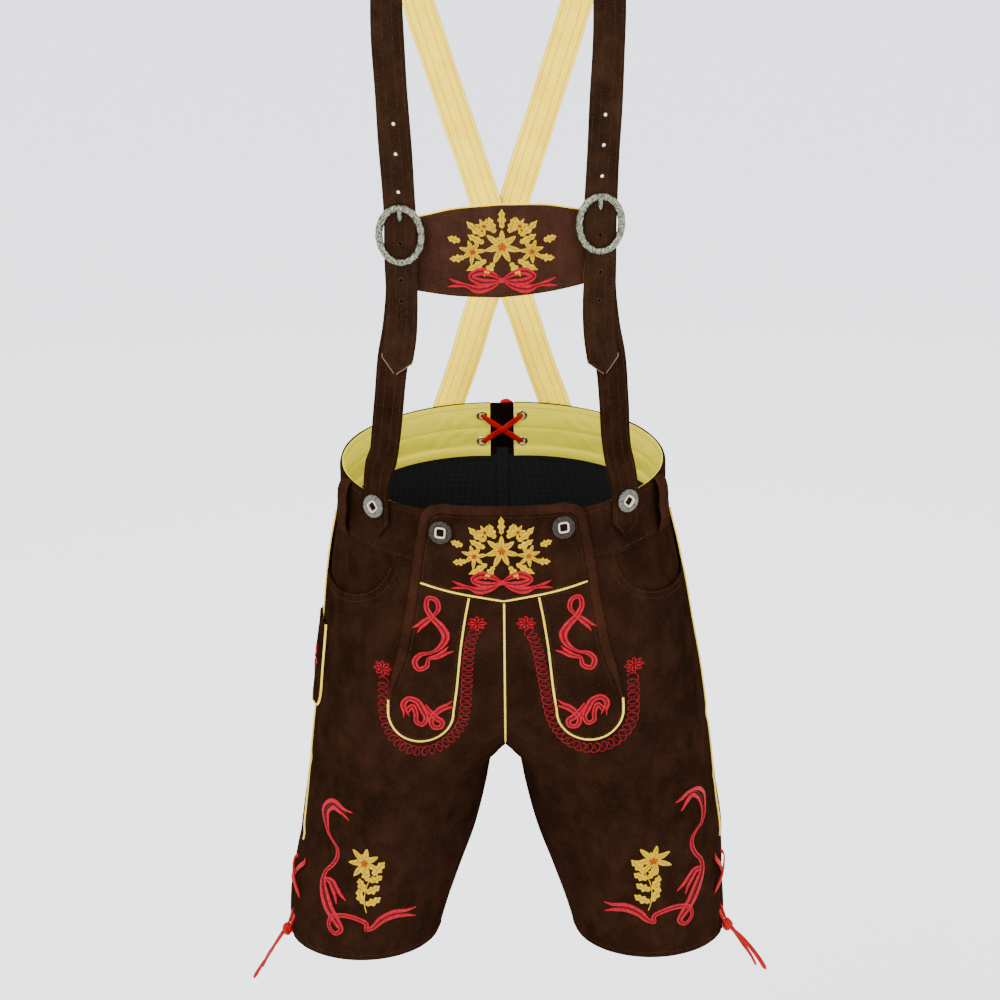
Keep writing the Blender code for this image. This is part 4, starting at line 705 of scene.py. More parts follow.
def leg_grid(back, cols=84):
    """Levels and angles of a leg panel's grid, without its seam and slit allowances."""
    levels = leg_rows(back)
    down = np.clip((BAND_SEAM - SEAM_GAP - levels) / (BAND_SEAM - POCKET_LOW), 0, 1)
    seam = outseam(levels)
    first = -seam if back else seam + (POCKET_ANGLE - seam) * (1 - down ** 3) ** (1 / 3)
    slit = 3.0 * MM * smooth_step(-levels, -SLIT_TOP, -HEM)
    start = (SEAM_GAP / 2 + slit) / PANEL_WIDTH
    stop = 1 - np.where(levels <= CROTCH, SEAM_GAP / 2 / PANEL_WIDTH, 0.0)
    share = start[:, None] + (stop - start)[:, None] * np.linspace(0, 1, cols)
    return levels[:, None], angles_across(levels, share, back, first, angle_limit(levels))


def leg_panel(side, tag, back):
    """One panel of a leg. The pocket's mouth, the hem and the slit are rolled edges, where the
    face lifts and then dips."""
    levels, angles = leg_grid(back)
    rim = np.minimum(np.abs(levels - HEM), 0.02)
    lift = 0.35 * hump(rim, 5 * MM, 3 * MM) - 0.5 * hump(rim, 0, 0.8 * MM)
    if not back:
        arc = (angles - angles[:, :1]) * MOUTH_ARC
        mouth = 0.6 * hump(arc, 3 * MM, 2.4 * MM) - 0.5 * hump(arc, 0, 0.7 * MM)
        lift = lift + (levels > POCKET_LOW) * (mouth - 0.35 * hump(arc, 9.5 * MM, 1.2 * MM))
    faces = two_faces(side, angles, levels, lift * MM, -SUEDE)
    for grid in faces:
        grid[..., 0] = side * np.maximum(side * grid[..., 0], SEAM_GAP / 2)
    place = "back" if back else "front"
    suede_piece(f"{place}_leg_{tag}", *faces, rests_on=[f"waistband_{place}_{tag}"])


for side, tag in SIDES:
    leg_panel(side, tag, False)
    leg_panel(side, tag, True)

# %% [markdown]
# ## Pockets, waistband, facing and lining
# Behind the scooped mouth lies a facing of the same suede. A dark tape covers the centre seam
# behind, and a gusset fills the notch above it. The waistband stands out over the legs and is
# stitched along both edges; its top edge is turned in. Inside it is faced with khaki twill,
# stitched through along the middle and bound along its lower edge, and below that the seat is
# lined with the dark check.

# %% Pocket facings
for side, tag in SIDES:
    down = np.linspace(0, 1, 26)[:, None]
    levels = BAND_SEAM - SEAM_GAP + (POCKET_LOW - 0.01 - BAND_SEAM + SEAM_GAP) * down
    angles = 0.004 + np.linspace(0, 1, 34) * POCKET_ANGLE * (1.16 - 0.36 * down ** 2)
    sag = 0.25 * MM * np.sin(angles * 7 + levels * 90) - SUEDE
    suede_piece("pocket_facing_" + tag, *two_faces(side, angles, levels, sag - 1.3 * MM, sag - 2.4 * MM),
                rests_on=["suede_front_leg_" + tag])

# %% The tape and the gusset behind
def waist_grid(levels, half, cols):
    """Angles round the waist from the outseam to the middle, in front or behind."""
    end = NOTCH / 2 if half == "back" else SEAM_GAP / 2
    share = np.linspace(SEAM_GAP / 2 / QUARTER_WAIST, 1, cols)
    return angles_across(levels, share, half == "back", 0.0, angle_at_x(end, levels))


def behind_seam(name, across, levels, lift, thick, *finish, **sheet):
    """A strip behind the middle of the back: its outer face at the lift, its inner one below."""
    outer, inner = (on_front(across, levels, out, back=True)[0] for out in (lift, lift - thick))
    cut_piece(name, outer, inner, *finish, **sheet)


# The tape lies under the lining, and closer to the leather below the waistband.
levels = np.linspace(BAND_SEAM + 1 * MM, CROTCH + 6 * MM, 90)[:, None]
across = np.linspace(-6, 6, 9) * MM * (1 - 0.7 * smooth_step(-levels, 0.2, 0.286))
lift = -SUEDE - LINING - 1.4 * MM - 1.7 * MM * smooth_step(-levels, 0.045, 0.12)
lift += 1.6 * MM * smooth_step(levels, -0.046, -0.038)
behind_seam("dark_seam_tape", across, levels, lift, 0.6 * MM, CHECK, "dark_lining")

# The gusset fills the notch and puffs out between its edges.
levels = np.linspace(BAND_TOP - 0.8 * MM, BAND_SEAM - 0.2 * MM, 30)[:, None]
across = np.linspace(-1, 1, 25) * (NOTCH / 2 - 0.05 * MM)
puff = 0.48 * MM * (1 - (across / (NOTCH / 2)) ** 2) * np.sin(levels * 260)
behind_seam("suede_gusset", across, levels, puff - 0.2 * MM, SUEDE, SHADED_SUEDE, "suede_trim",
            "gusset_back", rests_on=["suede_waistband_back_L"])

# %% Waistband
for side, tag in SIDES:
    for half, cols in (("front", 70), ("back", 66)):
        levels = np.linspace(BAND_TOP, BAND_SEAM - 0.25 * MM, 34)
        angles, levels = waist_grid(levels, half, cols), levels[:, None]
        ripple = 0.35 * np.sin(angles * 9.0 + side) * smooth_step(levels, -0.03, 0.0)
        turned_in = hump(levels, BAND_TOP, 1.6 * MM) + hump(levels, BAND_SEAM, 1.6 * MM)
        stitched = hump(levels, BAND_TOP - 5.5 * MM, 1 * MM) + hump(levels, BAND_SEAM + 5 * MM, 1 * MM)
        face = MM * (ripple - 0.8 * turned_in - 0.25 * stitched)
        faces = two_faces(side, angles, levels, BAND_PROUD + face, BAND_PROUD - BAND)
        suede_piece(f"waistband_{half}_{tag}", *faces, held="stretched")

# %% Twill facing
for side, tag in SIDES:
    extra = [BAND_SEAM + 0.5 * MM, -0.0275]
    levels = np.sort(np.r_[np.linspace(BAND_TOP - 0.6 * MM, FACING_LOW, 30), extra])[::-1, None]
    angles = np.hstack([waist_grid(levels, "back", 58)[:, ::-1], waist_grid(levels, "front", 50)])
    under = BAND_PROUD - BAND - SEAM_GAP - 2.9 * MM * smooth_step(-levels, 0.0265, -BAND_SEAM)
    quilt = 0.35 * hump(levels, -0.004, 1.2 * MM) - 0.7 * smooth_step(-levels, 0.0315, 0.033)
    wrinkle = 1.3 * np.sin(angles * 23 + levels * 90 + 2 * side) * np.sin(angles * 5.1 + side)
    wrinkle += 0.5 * np.sin(angles * 41 - levels * 140)
    loose = smooth_step(-levels, -0.018, -0.01) * smooth_step(levels, -0.031, -0.022)
    wrinkle *= loose * (1 - hump(levels, -0.004, 3.5 * MM))
    faces = two_faces(side, angles, levels, under, under - LINING + MM * (quilt - np.abs(wrinkle)))
    cut_piece("twill_facing_" + tag, *faces, TWILL, "facing_cloth", "facing_" + tag, held="stretched",
              rests_on=["suede_waistband_back_" + tag])

# %% The seat's lining
levels = leg_rows(True)
levels = np.r_[FACING_LOW - 1.2 * MM, levels[(levels < -0.045) & (levels > LINING_LOW)]][:, None]
angles = angles_across(levels, np.linspace(0.001, 0.999, 60), True, 0.0, angle_limit(levels))
for side, tag in SIDES:
    soft = 1.6 * MM * np.sin(angles * 5.3 + side) * smooth_step(-levels, 0.045, 0.12)
    lift = -SUEDE - 1.0 * MM - np.abs(soft)
    cut_piece("check_seat_lining_" + tag, *two_faces(side, angles, levels, lift, lift - LINING), CHECK,
              "dark_lining", "seat_lining_" + tag, rests_on=["twill_facing_" + tag])

# %% [markdown]
# ## The flap
# The front opens downward: a flap the width of the lap, buttoned to the waistband. Its edge is
# rolled over a cord and bound with paler suede. Below the V-shaped yoke two side panels end in
# a round, outlined with cream piping, and the middle of the lap is the trousers' own front.

# %% The flap's outline
FLAP_TOP, FLAP_LOW, FLAP_CORNER = 0.0335, -0.1985, 0.022
BINDING_WIDTH, BINDING_HEIGHT = 10.5 * MM, 4.2 * MM
PIPING_WIDTH, PIPING_HEIGHT = 3.0 * MM, 1.8 * MM
U_CENTRE, U_RADIUS = np.array([0.0865, -0.2135]), 0.0335
YOKE_LOW, YOKE_RISE, YOKE_REACH = -0.0675, 0.018, 0.084
# height, and x of the binding's outer edge and of the inner piping, in mm
FLAP_EDGE = MM * np.array([
    (40, 77), (18, 81.5), (4, 85.2), (-15, 89), (-48, 94), (-90, 100.5), (-131, 106.8), (-165, 114.2),
    (-189, 119), (-206, 120.5)])
SIDE_PANEL_LINE = MM * np.array([
    (-50, 33.5), (-59, 34.8), (-89.5, 39.6), (-129, 44.2), (-186.4, 49.3), (-213.5, 53)])


def flap_lift(height):
    """The flap lies close on the legs and steps out over the waistband."""
    return 0.6 * MM + 1.2 * MM * smooth_step(height, BAND_SEAM - 0.03, BAND_SEAM - 0.004)


def yoke_level(x):
    """A shallow V that rises with |x|."""
    return YOKE_LOW + YOKE_RISE * np.abs(x) / YOKE_REACH


def flap_edge(height):
    """x of the binding's outer edge at a height."""
    return smooth_columns(FLAP_EDGE, height)[0]


def panel_line(height):
    """x of the inner piping at a height."""
    return smooth_columns(SIDE_PANEL_LINE, height)[0]


def binding_half_width(height):
    """Half the binding's width; it narrows towards its lower end."""
    return BINDING_WIDTH / 2 * (0.38 + 0.62 * smooth_step(height, FLAP_LOW, -0.145))


def beside(line):
    """The left-hand direction along a flat line."""
    tangent = unit(np.gradient(line, axis=0))
    return np.stack([-tangent[:, 1], tangent[:, 0]], -1)


def binding_line(count):
    """The middle of the binding from its lower end, round the corner, to the top's middle."""
    low = np.linspace(FLAP_LOW, FLAP_TOP - FLAP_CORNER - 0.005, 9)
    run = np.stack([flap_edge(low) - binding_half_width(low), low], -1)
    top = FLAP_TOP - BINDING_WIDTH / 2
    bend = np.radians([35, 60, 80])
    corner = np.stack([run[-1, 0] + 0.0015 - FLAP_CORNER * (1 - np.cos(bend)),
                       top - FLAP_CORNER * (1 - np.sin(bend))], -1)
    across = np.array([(0.045, top + 0.0003), (0.022, top + 0.001), (0.0, top + 0.0012)])
    return smooth_line(np.concatenate([run, corner, across]), count)


print("flap from", FLAP_LOW, "to", FLAP_TOP, "and", round(float(flap_edge(-0.1)) * 2, 3), "m wide")

# %% Flap panels
def flap_top_lift(x, level, low=None, high=0.0275):
    """How far out the flap's face lies at x and level, puffed between its edges."""
    low = yoke_level(x) if low is None else low
    part = np.clip((level - low) / (high - low), 0, 1)
    return flap_lift(level) + SUEDE + 0.8 * MM * np.cos(x / 0.1 * 1.3) * np.sin(part * np.pi) ** 0.6


line = binding_line(160)
edge = line + beside(line) * (BINDING_WIDTH / 2 - 0.6 * MM)
x = np.linspace(-1, 1, 97) * np.interp(-0.05, edge[:80, 1], edge[:80, 0]) * 0.985
order = np.argsort(edge[:, 0])
top = np.interp(np.abs(x), edge[order, 0], edge[order, 1])
upper = edge[edge[:, 1] > -0.06]
widest = np.interp(top, upper[:, 1], upper[:, 0])
part = np.linspace(0, 1, 52)[:, None]
low = yoke_level(x) + PIPING_WIDTH / 2
level = low + (top - low) * part
across = x + (np.sign(x) * np.minimum(np.abs(x), widest) - x) * part ** 12
outer, inner = (on_front(across, level, lift)[0]
                for lift in (flap_top_lift(across, level, low, top), flap_lift(level)))
suede_piece("flap_top", outer, inner, rests_on=["flap_button_L", "flap_button_R"])

inset = PIPING_WIDTH / 2 + 0.2 * MM
radius = U_RADIUS - inset
part, u = np.linspace(0, 1, 54)[:, None], np.linspace(0, 1, 34)[None, :]
x = 0.037 + 0.043 * u * np.ones_like(part)
for _ in range(6):      # the yoke's level depends on x, and x on the level
    top = yoke_level(x) - inset
    level = top + (U_CENTRE[1] - top) * part
    near = panel_line(level[:, :1]) + inset
    far = flap_edge(level[:, -1:]) - 2 * binding_half_width(level[:, -1:]) + 0.5 * MM
    x = near + (np.minimum(far, U_CENTRE[0] + radius) - near) * u
turn = np.radians(np.linspace(4, 84, 18))[:, None]
x = np.concatenate([x, U_CENTRE[0] + radius * np.cos(turn) * (2 * u - 1)])
level = np.concatenate([level, U_CENTRE[1] - radius * np.sin(turn) * np.ones_like(u)])
for side, tag in SIDES:
    outer, inner = (on_front(side * x, level, flap_lift(level) + thick)[0] for thick in (SUEDE, 0.0))
    suede_piece("flap_side_" + tag, outer, inner, rests_on=["suede_flap_top"])

# %% The rolled binding
half = binding_line(150)
line = np.concatenate([half * [-1, 1], half[-2::-1]])
centre, normal = on_front(line[:, 0], line[:, 1], flap_lift(line[:, 1]))
widths = 2 * binding_half_width(line[:, 1])
rings = strip_rings(centre, normal, domed_profile(0.0, BINDING_HEIGHT, 12), widths)
s = np.linspace(0, 1, len(line))[:, None]
pull = 0.35 * MM * np.sin(s * 260) * np.sin(s * 57 + 1.2)
rings = rings + (rings - rings.mean(axis=1, keepdims=True)) * (pull / BINDING_HEIGHT)[..., None]
carried("suede_rolled_binding", rings, TRIM_SUEDE, "suede_trim", "flap_binding")

# %% [markdown]
# ## Piping
# Piping is a strip of cream leather folded over a thin cord and caught in the seam, so only a
# round bead of 3 mm shows. It runs down each outseam, along the yoke, round each side panel
# and down the centre seam.

# %% Piping
def bead(name, centre, normal, height, widths, *nodes):
    """A cream bead along a line of points."""
    rings = strip_rings(centre, normal, domed_profile(0.0, height), widths)
    carried("cream_piping_" + name, rings, PIPING, "piping", *nodes)


def uneven_bead(name, line, lift):
    """A bead along (x, level) points on the front; the cord inside makes its width uneven."""
    centre, normal = on_front(line[:, 0], line[:, 1], lift)
    s = np.linspace(0, 1, len(line)) * arc_length(centre)[-1]
    widths = 0.82 * PIPING_WIDTH * (1 + 0.06 * np.sin(s / (4.5 * MM)) * np.sin(s / (17 * MM)))
    bead(name, centre, normal, PIPING_HEIGHT + 0.4 * MM, widths, "piping_" + name)


def circle(centre, radius, first, last, count):
    """Points of a flat arc between two angles in degrees."""
    turn = np.radians(np.linspace(first, last, count))
    return centre + radius * np.stack([np.cos(turn), np.sin(turn)], -1)


reach = float(flap_edge(-0.05)) - BINDING_WIDTH - 0.2 * MM
x = np.linspace(-reach, reach, 121)
line = np.stack([x, yoke_level(np.sqrt(x ** 2 + 0.003 ** 2))], -1)
uneven_bead("yoke", line, flap_lift(yoke_level(x)) - 0.2 * MM)
levels = np.linspace(float(yoke_level(0.034)) - PIPING_WIDTH, U_CENTRE[1], 40)
down = np.stack([panel_line(levels), levels], -1)
rise = [(U_CENTRE[0] + U_RADIUS - 0.4 * MM, FLAP_LOW - 1.6 * MM)]
line = smooth_line(np.concatenate([down, circle(U_CENTRE, U_RADIUS, 186, 358, 60), rise]), 150)
for side, tag in SIDES:
    uneven_bead("flap_" + tag, line * [side, 1], 0.2 * MM)
levels = np.linspace(float(yoke_level(0.0)) - PIPING_WIDTH, -0.262, 90)
left, right = (on_front(np.full(90, x), levels, 0.3 * MM) for x in (-PIPING_WIDTH / 2, PIPING_WIDTH / 2))
bead("centre", (left[0] + right[0]) / 2, unit(right[1] * [0, 1, 1]), PIPING_HEIGHT + 0.2 * MM,
     PIPING_WIDTH * 0.7, "piping_centre")
levels = np.linspace(BAND_SEAM - 0.002, SLIT_TOP + 0.004, 170)
for side, tag in SIDES:
    bead("side_" + tag, *on_leg(side, outseam(levels), levels, 0.2 * MM), PIPING_HEIGHT * 0.8,
         PIPING_WIDTH * 0.7, "piping_side_" + tag)

# %% [markdown]
# ## Belt loops and the knife pocket
# A belt loop is a folded strip of paler suede, sewn flat at both ends and standing off the
# band between them. On the wearer's right outseam sits the narrow pocket for the folding
# knife that went with these trousers; it is a shallow pouch, edged with piping.

# %% Belt loops and knife pocket
LOOP_WIDTH, LOOP_OFF, LOOP_ANGLE = 18 * MM, 6.6 * MM, math.radians(21)
POUCH_TOP, POUCH_LENGTH = -0.146, 0.098
POUCH_END = 0.985                # how far down its length the pouch is drawn


def loop_off(part):
    """How far a belt loop stands off the band, from its upper end (0) to its lower one (1)."""
    return LOOP_OFF * np.clip(np.sin(np.pi * part) * 1.6, 0, 1) ** 0.8


part = np.linspace(0, 1, 60)
levels = BAND_TOP - 0.5 * MM + (BAND_SEAM - BAND_TOP + 1.0 * MM) * part
off = BAND_PROUD + SEAM_GAP + loop_off(part) + 0.3 * MM * np.sin(part * 21)
for side, tag in SIDES:
    line = on_leg(side, LOOP_ANGLE + 0.02 * (part - 0.5), levels, off)
    widths = LOOP_WIDTH * (1 + 0.03 * np.sin(part * 14 + side))
    rings = strip_rings(*line, rounded_profile(0.0, 2.3 * MM, 0.16), widths)
    carried("suede_belt_loop_" + tag, rings, TRIM_SUEDE, "suede_trim", "belt_loop_" + tag)


def knife_grid(part, share):
    """Angle, level and lift of the pouch: a slightly tapered band with a round foot."""
    foot = np.sqrt(1 - np.clip((part - 0.7) / 0.3, 0, 1) ** 2)
    across = 0.01 + 0.021 * (1.06 - 0.1 * part) * foot * share
    level = POUCH_TOP - POUCH_LENGTH * part
    lift = 0.9 * MM + 3.4 * MM * (1 - share ** 4) * np.sin(0.55 + 2.3 * part)
    over_seam = 3.2 * MM * smooth_step(-np.abs(across), -0.0095, -0.006)
    return outseam(level) + across / POUCH_ARC, level, np.maximum(lift, over_seam)


angle, level, lift = knife_grid(np.linspace(0, POUCH_END, 60)[:, None], np.linspace(-1, 1, 33))
suede_piece("knife_pocket", *two_faces(-1, angle, level, lift + SUEDE, lift),
            rests_on=["suede_front_leg_R"])
down = np.linspace(0, POUCH_END, 50)
part = np.concatenate([down, np.full(9, POUCH_END), down[::-1]])
share = np.concatenate([np.full(50, -1.0), np.linspace(-0.8, 0.8, 9), np.full(50, 1.0)])
angle, level, lift = knife_grid(part, share)
line = on_leg(-1, angle, level, lift + SUEDE - 1.2 * MM)
rings = strip_rings(*line, domed_profile(0.0, 1.9 * MM, 6), 2.4 * MM)
carried("cream_piping_knife_pocket", rings, PIPING, "piping")

# %% [markdown]
# ## Laces and eyelets
# The hem's lace crosses once over the slit and is tied below it. Behind, the lace passes
# through four nickel eyelets and crosses on the inside of the notch, where it shows from the
# front. A tight knot in flat leather is a lump of a few turned bands, so each knot is a
# flattened ball with three lobes that twist round it.

# %% Knots and the laces at the hem
def rounded_knot(name, centre, sizes, lobes=3):
    """r = 1 + 0.16 cos(lobes * turn + 2.4 * rise) cos(rise) on a flattened ball."""
    turn = np.linspace(0, 2 * np.pi, 40, endpoint=False)[None, :]
    rise = np.linspace(-np.pi / 2 + 0.05, np.pi / 2 - 0.05, 25)[:, None]
    r = 1 + 0.16 * np.cos(lobes * turn + 2.4 * rise) * np.cos(rise)
    ball = np.stack([r * np.cos(rise) * np.cos(turn), r * np.cos(rise) * np.sin(turn),
                     np.sin(rise) * np.ones_like(turn) * 1.05], -1)
    carried(name, centre + ball * np.array(sizes) * MM, RED_LEATHER, "red_lace")


def lace(name, points, normals, widths, node):
    """A flat thong along a line, its flat side facing along the normals."""
    rings = strip_rings(points, normals, rounded_profile(0.0, LACE_THICK, 0.25), widths)
    carried(name, rings, RED_LEATHER, "red_lace", node)


# the holes: in front of the slit and behind it, and their two levels
across, behind, high, low = 0.0165, -0.0085, -0.417, -0.457
middle, out, inside = (low + high) / 2, 0.8 * MM, -SUEDE - LACE_THICK - 0.5 * MM
route = smooth_line([
    (0.0032, TIE, 3.8 * MM), (0.005, TIE + 0.012, 0.0), (across - 0.004, low - 0.006, inside),
    (across, low, out), (0.0, middle, out + 3.0 * MM), (behind, high - 0.007, out),
    (behind + 0.004, high - 0.004, inside), (0.01, high, inside), (across, high, out),
    (0.0, middle, out), (behind, low + 0.006, out), (behind + 0.0035, low, inside),
    (-0.004, TIE + 0.012, 0.0), (-0.0032, TIE, 3.8 * MM)], 180)
angle = outseam(route[:, 1]) + route[:, 0] / HEM_ARC
widths = LACE_WIDTH * (0.72 + 0.28 * smooth_step(route[:, 1], TIE, TIE + 0.016))
for side, tag in SIDES:
    line = on_leg(side, angle, route[:, 1], route[:, 2])
    lace("thong_hem_lace_" + tag, *line, widths, "hem_lace_" + tag)
    rounded_knot("hem_knot_" + tag, HEM_KNOT[tag], (5.6, 6.6, 7.0))

# %% The lace behind: through the eyelets, crossed inside, and tied in a bow outside
x, high, low = EYELETS[0][0], EYELETS[0][1], EYELETS[1][1]
inside = BAND_PROUD - BAND - SEAM_GAP - LINING - 2.4 * MM - LACE_THICK / 2
outside = BAND_PROUD + 2.4 * MM + LACE_THICK / 2
crossing, mid = (high + low) / 2, (inside + outside) / 2
half = [
    # x, level, how far out, and the direction across the lace in degrees
    (x, high, mid + 0.0008, 125), (x - 0.0002, high - 0.0001, inside + 0.0022, 125),
    (x - 0.0016, high - 0.0011, inside + 0.0004, 125), (x - 0.0045, high - 0.0032, inside, 125),
    (0.0085, crossing + 0.006, inside - 0.0002, 125), (0.0, crossing, inside - 0.002, 125),
    (-0.0085, crossing - 0.006, inside - 0.0002, 125), (-x + 0.0045, low + 0.0032, inside, 125),
    (-x + 0.0016, low + 0.0011, inside + 0.0004, 125), (-x, low, inside + 0.0022, 115),
    (-x, low, mid, 107), (-x, low, outside - 0.0022, 99), (-x + 0.0018, low, outside - 0.0004, 90),
    (-x + 0.005, low, outside, 90), (-0.008, low, outside + 0.0004, 90), (0.0, low, outside + 0.0006, 90)]
other = [(-at, level, out + (0.002 if abs(at) < 0.001 and out < 0 else 0.0), 180 - turn)
         for at, level, out, turn in half[-2::-1]]
stops = np.array(half + other)
points, normals = on_front(stops[:, 0] + 1e-5, stops[:, 1], stops[:, 2], back=True)
back_out = normals[len(half) - 1]
up = unit(np.cross(back_out, [-1.0, 0.0, 0.0]))
up = up if up[2] > 0 else -up
turns = np.radians(stops[:, 3])[:, None]
widthwise = np.cos(turns) * [1.0, 0.0, 0.0] + np.sin(turns) * up
line = smooth_line(np.concatenate([points, widthwise * 0.001], axis=1), 200)
centre, widthwise = line[:, :3], unit(line[:, 3:])
along = unit(np.gradient(centre, axis=0))
widthwise = unit(widthwise - along * np.sum(widthwise * along, axis=1)[:, None])
face = np.cross(widthwise, along)
share, out = np.transpose(rounded_profile(-LACE_THICK / 2, LACE_THICK / 2, 0.3))
near_eyelet = np.minimum(np.abs(np.abs(centre[:, 0]) - x), 8 * MM)[:, None, None] / (8 * MM)
rings = (centre[:, None] + widthwise[:, None] * share[:, None] * (4.0 + 2.4 * near_eyelet) * MM
         + face[:, None] * out[:, None])
carried("thong_back_lace", rings, RED_LEATHER, "red_lace", "back_lace")
outside = BAND_PROUD + 2.2 * MM
right = [(0.005, high + 0.0062, 0.0014), (0.013, high + 0.003, 0.0003), (x - 0.0006, high, 0.0)]
left = [(-at, level, out) for at, level, out in right[::-1]]
stops = np.array(left + [(0.0, high + 0.007, 0.002)] + right)
points = smooth_line(on_front(stops[:, 0] + 1e-5, stops[:, 1], outside + stops[:, 2], back=True)[0], 70)
lace("thong_back_bow", points, np.tile(back_out, (70, 1)), 4.4 * MM, "back_knot")
place = on_front(0.0045, high + 0.009, outside + 3.0 * MM, back=True)[0]
rounded_knot("back_knot_of_lace", place, (7.0, 4.0, 5.4))

# %% Turned pieces, and the eyelets
def turned(name, profile, centre, axis, material, slot, *nodes, segments=36, spin=0.0, relief=None):
    """Rings about an axis from rows of (radius, out, p). The contour at each row is
    radius / (|cos|^p + |sin|^p)^(1/p): a circle for p = 2 and nearly a square for 5."""
    axis = unit(np.asarray(axis, float))
    first = unit(np.cross(axis, [0.0, 0.0, 1.0]))
    turn = np.linspace(0, 2 * np.pi, segments, endpoint=False)[:, None]
    radius, out, power = np.array(profile).T[:, None]
    out = out + (relief(turn, radius, out) if relief else 0 * turn)
    reach = radius / (np.abs(np.cos(turn)) ** power + np.abs(np.sin(turn)) ** power) ** (1 / power)
    rings = (centre + (reach * np.cos(turn + spin))[..., None] * first
             + (reach * np.sin(turn + spin))[..., None] * np.cross(axis, first) + out[..., None] * axis)
    carried(name, rings, material, slot, *nodes, closed=True)


thick = BAND + SEAM_GAP + LINING
r, flange, half_thick, lift = 3.0 * MM, 5.75 * MM, thick / 2 + 0.9 * MM, 0.9 * MM
bow = [(r + (flange - r) * (1 - math.cos(a)) / 2, half_thick + lift * math.sin(a), 2)
       for a in np.linspace(0, np.pi, 7)]
profile = bow + [(r + 0.7 * MM, half_thick - 0.2 * MM, 2), (r + 0.7 * MM, 0.2 * MM - half_thick, 2)]
profile += [(radius, -out, 2) for radius, out, _ in bow[::-1]]
for i, (x, level) in enumerate(EYELETS, 1):
    centre, normal = on_front(x, level, BAND_PROUD - thick / 2, back=True)
    turned(f"nickel_eyelet_{i}", profile, centre, normal, NICKEL, "old_silver", f"eyelet_{i}")

# %% [markdown]
# ## Horn buttons
# Each button is turned from horn, with a raised rim and a dished face, and holds a pale inlay
# round a square hole. The contour slides from a circle at the rim to a square at the eye.

# %% Buttons
BUTTON_RADIUS, BUTTON_THICK = 12 * MM, 4.5 * MM
# rows of (radius, out, power), as shares of the button's radius and thickness
BUTTON_PARTS = {
    "horn": [(0.25, 0, 4), (0.84, 0, 2), (0.95, 0.1, 2), (1, 0.38, 2), (0.985, 0.62, 2), (0.93, 0.86, 2),
             (0.85, 0.98, 2), (0.77, 1, 2), (0.71, 0.96, 2), (0.65, 0.86, 2), (0.59, 0.8, 2.4),
             (0.54, 0.8, 3), (0.5, 0.72, 4), (0.49, 0.5, 4)],
    "inlay": [(0.47, 0.5, 4), (0.475, 0.8, 4), (0.46, 0.9, 4), (0.4, 0.93, 5), (0.345, 0.9, 6),
              (0.33, 0.8, 6), (0.33, 0.45, 6)],
    "eye": [(0.01, 0.5, 6), (0.3, 0.51, 6), (0.32, 0.48, 6), (0.01, 0.46, 6)]}


def notches(turn, radius, out):
    """26 shallow notches round the button's face, just inside its rim."""
    ring = (radius > 0.62 * BUTTON_RADIUS) & (radius < 0.9 * BUTTON_RADIUS) & (out > 0.8 * BUTTON_THICK)
    return 0.22 * MM * np.cos(26 * turn) * ring


def horn_button(node, centre, normal, spin, horn):
    """The horn, the inlay and the dark hole in its middle."""
    for part, material, nodes in (("horn", horn, [node]), ("inlay", BONE, []), ("eye", SHADOW, [])):
        rows = np.array(BUTTON_PARTS[part]) * [BUTTON_RADIUS, BUTTON_THICK, 1]
        turned(f"{part}_{node}", rows, centre, normal, material, "horn", *nodes, segments=120, spin=spin,
               relief=notches)


for side, tag, x, level in ((1, "L", 0.059, 0.009), (-1, "R", -0.0618, 0.0045)):
    centre, normal = on_front(x, level, flap_lift(level) + SUEDE + 0.4 * MM)
    horn_button("flap_button_" + tag, centre, normal, 0.06 * side, HORN)

# %% [markdown]
# ## Braces
# Each strap is two strips sewn back to back: suede outside, cream leather inside. A short strap
# rises from the waistband in front; the long one lies over it with a pointed tip, goes
# through the buckle, over the shoulder, crosses its pair behind and ends on the waistband.
# Each strap is carried along one line, and its facing turns smoothly from row to row.

# %% The lines of the braces
STRAP_WIDTH, STRAP_SUEDE = 32 * MM, 1.8 * MM
STRAP_LOW = LINING + SEAM_GAP               # where the suede begins, out from the cream leather
STRAP_FACE = STRAP_LOW + STRAP_SUEDE
TIP_RISE, TIP_SHIFT = 0.1535, {1: 9.0 * MM, -1: 5.5 * MM}
TIP_LENGTH, LOWER_SHIFT = 14.8 * MM, {1: 4.5 * MM, -1: 0.0}
STRAP_BUTTONS = {1: 0.0205, -1: 0.0152}      # level of the button on each lower strap
# x, y, height above the waist, and sideways lean of the facing, in thousandths
BRACE_LINE = MM * np.array([
    (96, -126.2, 308, 130), (97.5, -125.8, 345, 120), (101.6, -120.6, 420, 120), (106, -91, 508, 200),
    (105, -52, 548, 270), (98.5, 5, 570, 300), (88.5, 55, 537, 270), (80, 89.5, 479, 180),
    (65, 106, 425, 100), (48.9, 112.1, 372, 50), (22.2, 114.7, 287, 0), (-2, 114, 206, 0),
    (-25.2, 111.2, 137.6, -80), (-38.4, 109.2, 94.5, -150), (-50.6, 106.6, 60, -200)])
LOWER_LINE = MM * np.array([
    (117, -92.5, 65, 580), (111, -103.8, 120, 400), (106.2, -110, 165, 280), (99.2, -114.8, 205, 200),
    (95.8, -120, 255, 140), (95.8, -121.6, 280, 130)])
BRACE_END = MM * np.array([(57.5, 16), (63, 0), (69, -19)])                  # x, level on the back
LOWER_END = MM * np.array([(125.5, -16.5), (126.2, 0), (126.2, 16)])         # x, level on the front


def table_points(table, side):
    """Points with their lean, mirrored for one side."""
    return table * [side, 1, 1, side] + [0, 0, WAIST_Z, 0]


